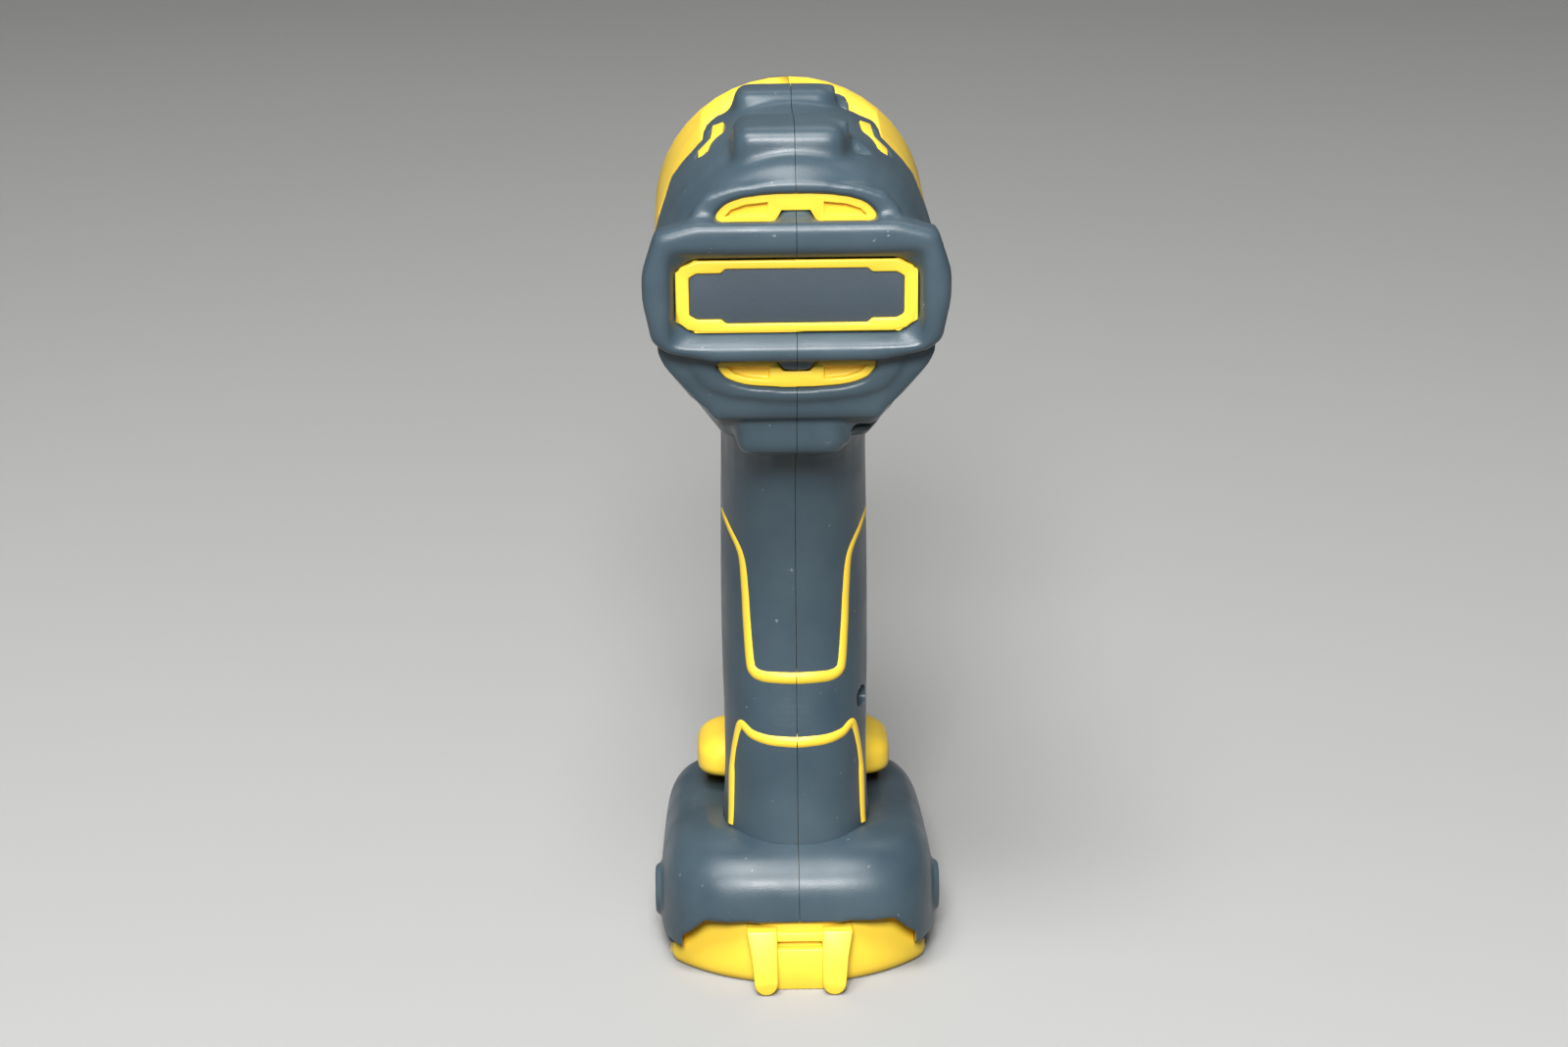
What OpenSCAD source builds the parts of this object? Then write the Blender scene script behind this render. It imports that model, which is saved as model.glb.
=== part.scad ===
// Cordless impact driver, bare of its battery and standing on the cover that shields its
// battery terminals. The drive axis runs along +Y with the nose in front, +X is the right
// hand side seen from behind, and z = 0 is the flat bottom of the cover.

/* [Overall] */
// Height of the drive axis above the rest face
head_z = 169.4; // [160:0.2:180]
// Gap between fixed pieces that seat on each other
seat_gap = 0.15; // [0.1:0.05:0.3]
// Gap around pieces that move
move_gap = 0.35; // [0.3:0.05:0.6]
// Radial clearance of a running shaft
run_gap = 0.05; // [0.02:0.01:0.1]

/* [Shell] */
// Radius of the head at its front band
head_r = 31.4; // [30:0.2:35]
// Wall of the moulded shell
wall = 2.4; // [1.8:0.1:2.8]
// Depth that the rubber is let into the shell
skin_depth = 1.3; // [0.8:0.1:1.6]
// Height that the rubber stands above the shell
skin_proud = 1.2; // [0.6:0.1:1.8]
// Gap between the two shell halves
seam_gap = 0.12; // [0.1:0.02:0.3]
// Radius of the screw bosses along the parting line
boss_r = 5.3; // [4.8:0.1:5.6]
// Width of the raised yellow lines in the rubber
line_w = 2.2; // [1.6:0.1:3]

/* [Bumper] */
// Width of the rear bumper
bumper_w = 66.8; // [62:0.2:70]
// Height of the rear bumper
bumper_h = 31.4; // [28:0.2:34]
// How far the bumper stands behind the rear wall
bumper_t = 8; // [6:0.5:10]
// Rise of the bumper's middle above the drive axis
bumper_rise = 1.2; // [0:0.2:2]
// Width of the badge frame
frame_w = 52.4; // [48:0.2:54]
// Height of the badge frame
frame_h = 16.2; // [14:0.2:17]
// Depth of the badge frame below the bumper's face
frame_sink = 3.2; // [2:0.2:5]
// Width of each rear vent
vent_w = 35.6; // [30:0.2:38]
// Height of each rear vent at its middle
vent_h = 6.2; // [5:0.2:7]

/* [Handle] */
// Width of the handle
grip_w = 31.8; // [30:0.2:33]
// Depth of the handle from front to back
grip_d = 42; // [40:0.5:45]

/* [Foot] */
// Width of the foot at the rear
foot_w = 67.2; // [65:0.2:69]
// Length of the foot
foot_l = 92; // [88:1:96]
// Height of the foot's top above the rest face
foot_h = 30; // [28:0.5:32]
// Height of the foot's lower edge above the rest face
foot_lift = 4.5; // [4.2:0.1:6]
// Width of the yellow lamp pod at the front of the handle
pod_w = 49.4; // [46:0.2:52]
// Thickness of each battery rail
rail_t = 2.9; // [2.4:0.1:3.4]
// Reach of each battery rail inward from the side wall
rail_in = 3.2; // [2.4:0.1:4]

/* [Motor] */
// Outer radius of the stator
stator_r = 24.4; // [22:0.2:25]
// Length of the stator core
stator_len = 18; // [14:1:20]
// Length of the coils beyond each end of the core
coil_over = 4.5; // [3:0.5:6]
// Radius of the rotor core
rotor_r = 11; // [9:0.5:12]
// Air gap between the rotor and the stator
air_gap = 0.6; // [0.4:0.1:1]
// Radius of the rotor shaft
shaft_r = 2.5; // [2:0.25:3]
// Radius of the motor bearings
bearing_r = 6.5; // [6:0.5:7]
// Width of the motor bearings
bearing_w = 4; // [3:0.5:5]
// Radius of the fan
fan_r = 22; // [18:0.5:23]
// Width of the fan
fan_w = 5.5; // [4:0.5:7]
// Thickness of the sensor board
board_t = 1.6; // [1:0.2:2]

/* [Gears] */
// Module of the gears
gear_module = 0.7; // [0.65:0.05:0.75]
// Teeth on the motor pinion
sun_teeth = 12; // [12:1:12]
// Teeth on each planet gear
planet_teeth = 18; // [18:1:18]
// Width of the gears
gear_w = 7; // [6:0.5:9]
// Pressure angle of the teeth
tooth_angle = 25; // [22:1:27]
// Thinning of each tooth for backlash
backlash = 0.16; // [0.12:0.02:0.24]
// Radius of the planet pins
pin_r = 1.5; // [1.2:0.1:1.8]

/* [Hammer] */
// Outer radius of the hammer
hammer_r = 21; // [20:0.2:22]
// Length of the hammer body
hammer_len = 17; // [15:0.5:20]
// Length of the striking lugs
lug_len = 5; // [4:0.5:6]
// Rearward travel of the hammer
hammer_travel = 7; // [5:0.5:8]
// Radius of the cam shaft
cam_r = 8; // [7:0.25:8.5]
// Wire radius of the hammer spring
hammer_wire_r = 1.2; // [1:0.1:1.4]

/* [Nose] */
// Wall of the hammer case
case_wall = 3.2; // [2.6:0.2:4]
// Thickness of the rubber nose boot
nose_skin = 2.4; // [1.8:0.2:3]
// Wall of the bronze bush
bush_wall = 2; // [1.6:0.2:2.6]
// Length of the bronze bush
bush_len = 9; // [7:0.5:11]

/* [Chuck] */
// Radius of the anvil shaft
anvil_r = 7.5; // [7:0.1:8]
// Width across the flats of the bit socket
socket_af = 6.5; // [6.4:0.05:6.6]
// Depth of the bit socket
socket_depth = 14; // [12:1:16]
// Outer radius of the chuck collar
collar_r = 11.4; // [10.6:0.2:13]
// Length of the chuck collar
collar_len = 11; // [10:0.5:13]
// Forward travel of the chuck collar
collar_travel = 4; // [3:0.5:5]
// Radius of the locking balls
lock_ball_r = 1.6; // [1.4:0.1:1.7]

/* [Controls] */
// Width of the trigger
trigger_w = 16; // [13:0.5:18]
// Height of the trigger
trigger_h = 27; // [24:0.5:29]
// Length of the trigger in front of the handle
trigger_l = 13.5; // [11:0.5:16]
// Travel of the trigger
trigger_travel = 6.5; // [5:0.5:7]
// Length of the direction bar across the handle
bar_l = 44.5; // [43:0.5:46]
// Travel of the direction bar to each side
bar_travel = 2.8; // [2:0.2:3]

/* [Cover] */
// Width of the terminal cover
cover_w = 60.6; // [58:0.2:62]
// Thickness of the cover's base plate
cover_t = 4; // [3.4:0.1:4]
// Radius of the cover's rear edge in plan
cover_edge_r = 39.5; // [37:0.5:45]
// Width of the latch in the middle of the cover
latch_w = 21.4; // [19:0.2:24]

/* [Fasteners] */
// Shank radius of the housing screws
screw_r = 1.5; // [1.3:0.1:1.7]
// Head radius of the housing screws
screw_head_r = 2.7; // [2.4:0.1:2.9]
// Tapped radius of the belt hook inserts
hook_r = 1.65; // [1.5:0.05:1.8]
// Length of the belt hook inserts
hook_len = 5.2; // [5:0.2:6]

/* [Hidden] */

// Overrun of cuts, reach of half spaces and facet counts
over = 1;
reach = 2 * head_z;
fine_points = 28;
core_points = 16;
fine_facets = 44;
core_facets = 24;
round_facets = 64;
small_facets = 10;
line_facets = 8;
line_steps = 2;
edge_facets = 12;
skin_lap = 0.3;
core_round = 1 / cos(180 / core_facets);

// Stations along the drive axis, each from the one behind it
fan_gap = 0.8;
plate_web = 1.5;
disc_t = 2;
front_disc_t = 3.4;
carrier_bearing_w = 4;
spring_stack = 4;
band_lead = 3;
anvil_lip = 1;
rear_run = bumper_t + skin_depth + wall + seat_gap + bearing_w + fan_gap + fan_w + fan_gap;
motor_run = coil_over + stator_len + coil_over + seat_gap + board_t + 2 * seat_gap;
plate_len = bearing_w + plate_web + carrier_bearing_w + 2 * seat_gap;
carrier_run = 2 * seat_gap + disc_t + move_gap + gear_w + move_gap + front_disc_t;
hammer_run = hammer_travel + spring_stack + hammer_len;
nose_run = 2 * move_gap + lug_len + bush_len + move_gap + collar_len + anvil_lip;
head_len = rear_run + motor_run + plate_len + carrier_run + hammer_run + nose_run;
tail_y = -head_len / 2;
rear_wall_y = tail_y + bumper_t;
cavity_y = rear_wall_y + skin_depth + wall;
rear_bearing_y = cavity_y + seat_gap;
fan_y = rear_bearing_y + bearing_w + fan_gap;
coil_y = fan_y + fan_w + fan_gap;
stator_y = coil_y + coil_over;
stator_end = stator_y + stator_len;
board_y = stator_end + coil_over + seat_gap;
plate_y = board_y + board_t + 2 * seat_gap;
front_bearing_y = plate_y + seat_gap;
carrier_bearing_y = front_bearing_y + bearing_w + plate_web;
plate_end = plate_y + plate_len;
carrier_y = plate_end + 2 * seat_gap;
planet_y = carrier_y + disc_t + move_gap;
front_disc_y = planet_y + gear_w + move_gap;
front_disc_end = front_disc_y + front_disc_t;
hammer_y = front_disc_end + hammer_travel + spring_stack;
hammer_end = hammer_y + hammer_len;
wing_y = hammer_end + move_gap;
wing_end = wing_y + lug_len;
case_floor_y = wing_end + move_gap;
case_end = case_floor_y + bush_len;
collar_y = case_end + move_gap;
collar_end = collar_y + collar_len;
nose_y = collar_end + anvil_lip;
body_front_y = front_disc_end + band_lead;
barrel_len = body_front_y - rear_wall_y;

// Head outline from the rear wall to the front band
barrel_r_shares = [0.77, 0.86, 0.905, 0.95, 0.98, 1, 1, 0.985];
barrel_y_shares = [0, 0.02, 0.08, 0.17, 0.3, 0.48, 0.975, 1];
core_in = skin_depth + seat_gap / 2;
shell_in = skin_depth + wall;

// Bumper outline from its top flat down to its bottom flat
bumper_x_shares = [0.66, 0.9, 0.985, 0.985, 0.93, 0.84, 0.53];
bumper_z_shares = [0.96, 0.82, 0.25, -0.1, -0.68, -0.82, -0.96];
bumper_edge = 1.3;
bumper_z = head_z + bumper_rise;
pedestal_len = 10;
pedestal_share = 0.9;
pocket_w = 56;
pocket_h = 22;
plate_w_share = 0.89;
plate_h_share = 0.76;
notch_w_share = 0.66;
notch_h_share = 0.12;
badge_t = 0.8;
vent_z = 15.7;
vent_rim_w = 5.4;
vent_rim_h = 2.8;
vent_slot_w = 8;
vent_slot_h = 1;
vent_sink = 1.2;
vent_tab_w = 9;
vent_tab_h = 2.4;

// Cheeks under the bumper, as shares of its width and of the head's radius
jaw_x_shares = [0.46, 0.455, 0.44, 0.405, 0.355, 0.3, 0.27];
jaw_z_shares = [0.2, 0.45, 0.52, 0.6, 0.68, 0.82, 0.92];
jaw_back = 1;
jaw_len = 17;
jaw_mid_share = 0.35;
jaw_end_share = 0.86;
jaw_foot_share = 0.235;
jaw_foot_drop = 39;
jaw_foot_in = 16;

// Handle sections from the head down into the foot, as shares of the named sizes
grip_z_shares = [0.885, 0.838, 0.803, 0.762, 0.708, 0.62, 0.5, 0.4, 0.318, 0.236, 0.177, 0.135];
grip_back_shares = [-1.07, -1.12, -1.14, -1.05, -0.91, -0.83, -0.82, -0.88, -0.95, -1, -1.035, -1.09];
grip_front_shares = [0.29, 0.26, 0.24, 0.225, 0.215, 0.19, 0.14, 0.085, 0.035, 0.0, 0.05, 0.2];
grip_half_shares = [0.8, 0.62, 0.56, 0.497, 0.49, 0.497, 0.503, 0.5, 0.49, 0.49, 0.515, 0.6];
grip_power = 2.5;
grip_steps = 2;

// Foot sections from its lower edge to the handle
foot_rear_share = 0.6;
foot_y = -foot_rear_share * foot_l;
foot_z_shares = [0, 0.12, 0.32, 0.55, 0.74, 0.88, 1];
foot_half_shares = [0.485, 0.5, 0.5, 0.483, 0.43, 0.36, 0.29];
foot_back_shares = [0.012, 0, 0, 0.022, 0.06, 0.095, 0.115];
foot_front_shares = [0.99, 1, 1, 0.985, 0.965, 0.92, 0.84];
foot_taper_share = 0.86;
foot_power = 4.5;
foot_tilt = 9;

// Lamp pod sections
pod_sink = 7;
pod_z = foot_h - pod_sink;
pod_h = 19.5;
pod_y = -8;
pod_l = 26;
pod_z_shares = [0, 0.2, 0.45, 0.72, 1];
pod_half_shares = [0.44, 0.49, 0.5, 0.46, 0.34];
pod_back_shares = [0.04, 0, 0, 0.04, 0.12];
pod_front_shares = [0.95, 1, 0.99, 0.92, 0.78];
pod_power = 3;
lens_w = 14;
lens_h = 7;
lens_t = 4.5;
lamp_z_share = 0.62;
lamp_y_share = 0.95;
lamp_z = pod_z + lamp_z_share * pod_h;
lamp_y = pod_y + lamp_y_share * pod_l;
lens_back = lamp_y - lens_t;

// Rubber split lines and yellow lines, as heights above the rest face
boot_drop = 26.5;
grip_top_drop = 17;
boot_low_z = head_z - boot_drop;
grip_top_z = head_z - grip_top_drop;
foot_top_z = foot_h + skin_proud;
rear_cap_l = 19;
high_cap_share = 1.08;
low_cap_share = 1.4;
top_x_shares = [0.99, 0.92, 0.86, 0.71, 0.64, 0.63, 0.605, 0.53, 0.43, 0.41];
top_y_shares = [0.28, 0.34, 0.44, 0.452, 0.476, 0.585, 0.63, 0.655, 0.66, 0.78];
line_low_share = 0.405;
line_bottom_z = line_low_share * head_z;
line_front_share = 0.42;
line_x_shares = [0, 0.26, 0.31, 0.33, 0.365, 0.43, 0.53];
line_z_shares = [0, 0.006, 0.05, 0.1, 0.16, 0.19, 0.21];
saddle_x_shares = [0, 0.2, 0.39, 0.42, 0.47, 0.48];
saddle_z_shares = [0.322, 0.326, 0.337, 0.29, 0.24, 0.19];
window_x_shares = [0.49, 0.567, 0.576, 0.583, 0.672, 0.669, 0.605, 0.596, 0.57, 0.503];
window_y_shares = [0.506, 0.54, 0.452, 0.409, 0.375, 0.329, 0.31, 0.358, 0.386, 0.415];
window_rise_share = 0.85;

// Screws along the parting line: [y, z, right end, left end]
boss_left = 13.6;
boss_right = 11;
front_boss_right = 9;
top_boss_in = 22.5;
top_boss_rise = 29.2;
front_boss_in = 25;
front_boss_rise = 29.8;
low_boss_in = 17;
low_boss_drop = 33.4;
grip_post_y_share = 0.68;
grip_post_z_share = 0.362;
foot_post_in = 21;
foot_post_drop = 9;
front_post_in = 14;
front_post_drop = 16;
post_wall = 1.9;
top_boss_y = tail_y + top_boss_in;
top_boss_z = head_z + top_boss_rise;
front_boss_y = body_front_y - front_boss_in;
front_boss_z = head_z + front_boss_rise;
low_boss_y = tail_y + low_boss_in;
low_boss_z = head_z - low_boss_drop;
grip_post_y = -grip_post_y_share * grip_d;
grip_post_z = grip_post_z_share * head_z;
foot_post_y = foot_y + foot_post_in;
foot_post_z = foot_h - foot_post_drop;
front_post_y = foot_y + foot_l - front_post_in;
front_post_z = foot_h - front_post_drop;
post_r = screw_r + post_wall;
screw_sink = 2;
screw_short = 4;
screw_head_t = 2.2;
grip_seat_x = 9;
foot_seat_share = 0.357;
front_seat_share = 0.327;
foot_seat_x = foot_seat_share * foot_w;
front_seat_x = front_seat_share * foot_w;
screws = [
  [top_boss_y, top_boss_z, boss_right - screw_sink, boss_left - screw_short],
  [front_boss_y, front_boss_z, front_boss_right - screw_sink, boss_left - screw_short],
  [low_boss_y, low_boss_z, boss_right - screw_sink, boss_left - screw_short],
  [grip_post_y, grip_post_z, grip_seat_x, grip_seat_x],
  [foot_post_y, foot_post_z, foot_seat_x, foot_seat_x],
  [front_post_y, front_post_z, front_seat_x, front_seat_x]
];
post_grip_share = 0.38;
post_foot_share = 0.4;
post_front_share = 0.38;

// Controls inside the handle
trigger_z_share = 0.66;
trigger_y_share = 0.2;
trigger_z = trigger_z_share * head_z;
trigger_y = trigger_y_share * grip_d;
trigger_dish_share = 0.95;
trigger_waist_share = 0.72;
trigger_dish_drop_share = 0.02;
trigger_lip_share = 0.7;
trigger_lip_turn = 20;
switch_w = 14;
switch_h = 27;
switch_l = 21;
switch_y = trigger_y - trigger_travel - move_gap - switch_l;
stem_r = 2;
spring_wire_r = 0.45;
spring_room = 1.6;
spring_turns = 4;
spring_steps = 12;
wire_sides = 5;
stem_in = 6;
switch_back = 3;
bar_rise = 7;
bar_in = 13;
bar_z = trigger_z + trigger_h / 2 + bar_rise;
bar_y = trigger_y - bar_in;
bar_round_share = 0.3;
bar_d = 8;
bar_h = 5.4;
module_w = 15;
module_d = 21;
module_h = 20;
module_lift = 2.5;
module_y_share = 0.76;
module_z = foot_h + module_lift;
module_y = -module_y_share * grip_d;
rib_t = 2;
rib_share = 0.3;
module_rib_share = 0.4;

// Foot inside
slot_wall = 6.4;
slot_h = 4.4;
slot_end = 5;
arch_h = 11.4;
slot_rear_share = 0.06;
foot_extra_wall = 1;
slot_half = foot_w / 2 - slot_wall;
rail_half = slot_half - rail_in;
slot_top = foot_lift + rail_t + slot_h;
slot_front = foot_y + foot_l - slot_end;
arch_top = foot_lift + arch_h;
arch_side = foot_lift + rail_t + wall + move_gap;
arch_share = 0.8;
arch_l_share = 0.14;
block_w = 34;
block_l = 20;
block_h = 4.6;
block_drop = 1.5;
block_in_share = 0.467;
block_y = foot_y + block_in_share * foot_l;
block_z = slot_top + seat_gap;
blade_t = 0.9;
blade_l = 14;
blade_h = 3.4;
blade_step = 7.4;
hook_in = 25;
hook_rise = 1.6;
hook_y = foot_y + hook_in;
hook_x = foot_w / 2 * (1 + (foot_taper_share - 1) * (hook_y - foot_y) / foot_l) + skin_proud / 4;
hook_z = slot_top + hook_rise;
hook_body_r = 2.7;
hook_pad_r = 6;
hook_pad_t = 0.7;
lead_r = 1;
lead_step = 4;
lead_sides = 6;
lead_start = 14;
lead_lean = 1;
lead_rise = 14;
lead_back = 3.4;
lead_bend = 5;
lead_drop = 1.8;

// Terminal cover
cover_back = 0.5;
cover_short = 6;
cover_plug_in = 2;
cover_rear_y = foot_y - cover_back;
cover_front_y = slot_front - cover_short;
cover_neck_share = 0.13;
cover_rail_share = 0.16;
cover_neck_end_share = 0.17;
latch_in_share = 0.25;
latch_depth = 6;
latch_leg_out = 5.4;
latch_leg_toe = 2.4;
latch_leg_down = 1.4;
latch_bar_down = 2.2;
latch_bar_in = 0.4;
latch_bar_out = 2;
latch_bar_toe = 1;
latch_slot_z = 6;
latch_slot_h = 1.6;
latch_slot_in = 2;
latch_slot_out = 5;

// Motor, gears and hammer
slots = 6;
tooth_w = 5;
shoe_w = 9.4;
shoe_t = 2;
yoke_t = 4;
coil_back = 2;
coil_side = 0.2;
board_rim = 2;
board_bore = 0.6;
bore_r = rotor_r + air_gap;
blades = 9;
blade_wall = 1.2;
blade_in_share = 0.45;
blade_out_share = 0.5;
shield_shares = [0.3, 0.7];
shield_depth_share = 0.1;
plate_rim = 2.4;
plate_r = hammer_r + plate_rim;
ring_teeth = sun_teeth + 2 * planet_teeth;
planet_orbit = gear_module * (sun_teeth + planet_teeth) / 2;
addendum_share = 0.8;
addendum = addendum_share * gear_module;
dedendum = gear_module;
flank_low_share = 0.3;
flank_high_share = 0.5;
sun_clear_r = gear_module * sun_teeth / 2 + 2 * addendum;
disc_rim = 4;
disc_r = planet_orbit + disc_rim;
carrier_hub_r = 9.4;
carrier_bearing_r = 13.4;
pillar_r = 2.2;
hammer_room = 1;
hub_r = 9.2;
lug_gap = 0.6;
lug_half = 22;
lug_in = hub_r + lug_gap;
pocket_rim_in = 3.4;
pocket_rim_out = 3.6;
pocket_in = cam_r + pocket_rim_in;
pocket_out = hammer_r - pocket_rim_out;
pocket_l = 10;
hammer_spring_r = (pocket_in + pocket_out) / 2;
hammer_turns = 4;
coil_steps = 16;
cam_ball_r = 2.2;
cam_ball_share = 0.72;
cam_ball_y = hammer_y + cam_ball_share * hammer_len;
spring_washer_t = 1.2;

// Nose and chuck
case_r = hammer_r + hammer_room + case_wall;
case_seat_t = 2;
case_seat_r = case_r + case_seat_t;
flange_in = 2;
flange_out = 4;
flange_y = plate_end + flange_in;
flange_l = body_front_y - flange_y - flange_out;
nose_flange_l = 4;
nose_flange_in = 1.8;
nose_flange_shares = [0.75, 0.25];
nose_neck_share = 1.4;
nose_tip = 2.6;
nose_tip_r = anvil_r + bush_wall + nose_tip;
nose_round = 2.4;
wing_r = 16;
wing_half = 20;
wing_turn = 44;
pilot_r = 4;
pilot_len = 8;
lock_in = 2.4;
lock_sink = 0.4;
lock_y = collar_y + lock_in;
groove_t = 1;
groove_d = 0.8;
snap_in = 0.7;
snap_w = 1.9;
snap_angle = 320;
snap_y = nose_y - anvil_lip - groove_t - seat_gap;
washer_t = 1;
washer_y = snap_y - washer_t - seat_gap;
collar_step_l = 4.2;
collar_room = 2.4;
collar_bore_r = anvil_r + collar_room;
collar_chamfer = 1.6;
collar_band = 3.4;
collar_waist = 0.9;
collar_waist_in = 4.6;
collar_waist_out = 2.6;
collar_lip = 0.2;
collar_lip_in = 1.4;
collar_nose = 1;
collar_wire_r = 0.5;
collar_turns = 2;

// Shares of the openings and seats in the shell
vent_x_shares = [1, 0.97, 0.84, 0.6, 0.2];
vent_z_shares = [0, 0.3, 0.68, 0.89, 1];
vent_pocket_x_shares = [0.33, 0.87, 0.78, 0.6, 0.33];
vent_pocket_z_shares = [0.2, 0.2, 0.46, 0.64, 0.72];
vent_pocket_d = 2.2;
vent_slot_x_share = 0.3;
vent_slot_z_share = 0.3;
vent_slot_d = 14.4;
vent_cut_share = 0.45;
frame_clip_x_share = 0.845;
frame_clip_z_share = 0.68;
stator_seat_shares = [0.15, 0.3, 0.7, 0.85];
motor_bay_share = 0.93;
tail_bay_shares = [0.8, 0.9];
tail_block_l = 24;
tail_block_h = 38;
skin_low_share = 0.5;

function knot(v, i) = v[max(0, min(len(v) - 1, i))];
// Smooth value through a list of hand-set stations
function through(v, t) =
  let (i = floor(t), f = t - i, a = knot(v, i - 1), b = knot(v, i), c = knot(v, i + 1), d = knot(v,
    i + 2))
  b + f * (c - a) / 2 + f * f * (2 * a - 5 * b + 4 * c - d) / 2
    + f * f * f * (3 * b - a - 3 * c + d) / 2;
function along(xs, zs, x, z) =
  [for (i = [0:(len(xs) - 1) * line_steps]) [x * through(xs, i / line_steps), z * through(zs,
    i / line_steps)]];

function bulge(v, power) = sign(v) * pow(abs(v), 2 / power);
// Superelliptic section that can taper toward the front
function section(half, y0, y1, z, power, taper, points, tilt = 0) =
  [for (i = [0:points - 1])
    let (a = 360 * i / points, s = bulge(sin(a), power))
    [half * bulge(cos(a), power) * (1 + (taper - 1) * (s + 1) / 2), (y0 + y1) / 2 + (y1 - y0) / 2 * s,
      z - tilt * (s + 1) / 2]];
function unit(v) = v / norm(v);
function heading(p, i) = unit(p[min(i + 1, len(p) - 1)] - p[max(i - 1, 0)]);

function middle(ring) = (ring[0] + ring[len(ring) / 2]) / 2;

// Solid through a stack of rings: each piece ends in a low cone that reaches into the next one
module skin(rings) {
  n = len(rings[0]);
  for (i = [0:len(rings) - 2]) {
    rise = sign(rings[i + 1][0][2] - rings[i][0][2]);
    hull()
      polyhedron(
        concat(rings[i], rings[i + 1], [middle(rings[i + 1]) + [0, 0, rise * skin_lap]]),
        concat(
          [[for (j = [0:n - 1]) j]],
          [for (j = [0:n - 1]) [2 * n, n + (j + 1) % n, n + j]],
          [for (j = [0:n - 1]) [(j + 1) % n, j, n + j, n + (j + 1) % n]]
        )
      );
  }
}

module tube(path, r, sides, ref) {
  n = len(path);
  points = [for (i = [0:n - 1])
    let (t = heading(path, i), u = unit(cross(t, ref)), v = cross(t, u))
    for (j = [0:sides - 1]) path[i] + r * (cos(360 * j / sides) * u + sin(360 * j / sides) * v)];
  polyhedron(
    points,
    concat(
      [[for (j = [0:sides - 1]) j]],
      [[for (j = [0:sides - 1]) n * sides - 1 - j]],
      [for (i = [0:n - 2], j = [0:sides - 1])
        [i * sides + (j + 1) % sides, i * sides + j, (i + 1) * sides + j,
          (i + 1) * sides + (j + 1) % sides]]
    )
  );
}

// Coil spring along +Y from y0 to y1 round the point [x, z]
module coil(x, z, y0, y1, r, wire, turns, steps) {
  a = y0 + wire;
  b = y1 - wire;
  path = [for (i = [0:turns * steps])
    [x + r * cos(360 * i / steps), a + (b - a) * i / (turns * steps), z + r * sin(360 * i / steps)]];
  tube(path, wire, wire_sides, [0, 1, 0]);
}

module on_axis(y) translate([0, y, head_z]) rotate([-90, 0, 0]) children();
module turned(profile, facets = round_facets) {
  translate([0, 0, head_z]) rotate([-90, 0, 0]) rotate_extrude($fn = facets) polygon(profile);
}
module ring(y, length, outer, inner) {
  turned([[inner, y], [outer, y], [outer, y + length], [inner, y + length]]);
}
// Shape drawn in the rear view and pushed from y0 to y1
module rear_view(y0, y1) {
  translate([0, y1, 0]) rotate([90, 0, 0]) linear_extrude(y1 - y0) children();
}
// Shape drawn in the side view as [y, z] and pushed across from x0 to x1
module side_view(x0, x1) {
  translate([x0, 0, 0]) rotate([90, 0, 90]) linear_extrude(x1 - x0) children();
}
module block(x0, x1, y0, y1, z0, z1) {
  translate([x0, y0, z0]) cube([x1 - x0, y1 - y0, z1 - z0]);
}
module across(x0, x1, y, z, r) {
  translate([x0, y, z]) rotate([0, 90, 0]) cylinder(r = r, h = x1 - x0, $fn = small_facets);
}
module half(side) {
  intersection() {
    children();
    translate([side * (reach + seam_gap) / 2, 0, 0]) cube([reach, 2 * reach, 2 * reach], center = true);
  }
}
module stroke(points, w) {
  for (i = [0:len(points) - 2])
    hull() {
      translate(points[i]) circle(d = w, $fn = line_facets);
      translate(points[i + 1]) circle(d = w, $fn = line_facets);
    }
}

// Outer forms of the shell, each grown by o

module barrel(o, fine = true) {
  n = len(barrel_r_shares);
  translate([0, 0, head_z])
    rotate([-90, 0, 0])
      rotate_extrude($fn = fine ? fine_facets : core_facets)
        polygon(concat(
          [[0, rear_wall_y - o]],
          [for (i = [0:n - 1])
            [head_r * barrel_r_shares[i] + o,
              rear_wall_y + barrel_len * barrel_y_shares[i] - (i == 0 ? o : 0)]],
          [[0, body_front_y]]
        ));
}

module grip_form(o, fine = true) {
  steps = fine ? grip_steps : 1;
  n = (len(grip_z_shares) - 1) * steps;
  skin([for (i = [0:n])
    let (t = i / steps)
    section(grip_w * through(grip_half_shares, t) + o, grip_d * through(grip_back_shares, t) - o,
      grip_d * through(grip_front_shares, t) + o, head_z * through(grip_z_shares, t), grip_power, 1,
      fine ? fine_points : core_points)]);
}

module foot_form(o, fine = true) {
  rise = foot_h - foot_lift;
  skin([for (i = [0:len(foot_z_shares) - 1])
    section(foot_w * foot_half_shares[i] + o, foot_y + foot_l * foot_back_shares[i] - o,
      foot_y + foot_l * foot_front_shares[i] + o, foot_lift + (rise + o) * foot_z_shares[i], foot_power,
      foot_taper_share, fine ? fine_points : core_points, foot_tilt * foot_z_shares[i])]);
}

module pod_form() {
  skin([for (i = [0:len(pod_z_shares) - 1])
    section(pod_w * pod_half_shares[i], pod_y + pod_l * pod_back_shares[i],
      pod_y + pod_l * pod_front_shares[i], pod_z + pod_h * pod_z_shares[i], pod_power, 1, fine_points)]);
}

module bosses(o) {
  places = [
    [top_boss_y, top_boss_z, boss_right],
    [front_boss_y, front_boss_z, front_boss_right],
    [low_boss_y, low_boss_z, boss_right]
  ];
  for (p = places)
    hull() {
      r = boss_r + o - skin_proud;
      across(boss_r - boss_left, p[2] + o, p[0], p[1], r);
      translate([boss_r - boss_left, p[0], p[1]]) sphere(r = r, $fn = edge_facets);
    }
}

module form(o, fine = true) {
  barrel(o, fine);
  grip_form(o, fine);
  foot_form(o, fine);
  bosses(o);
}

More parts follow.
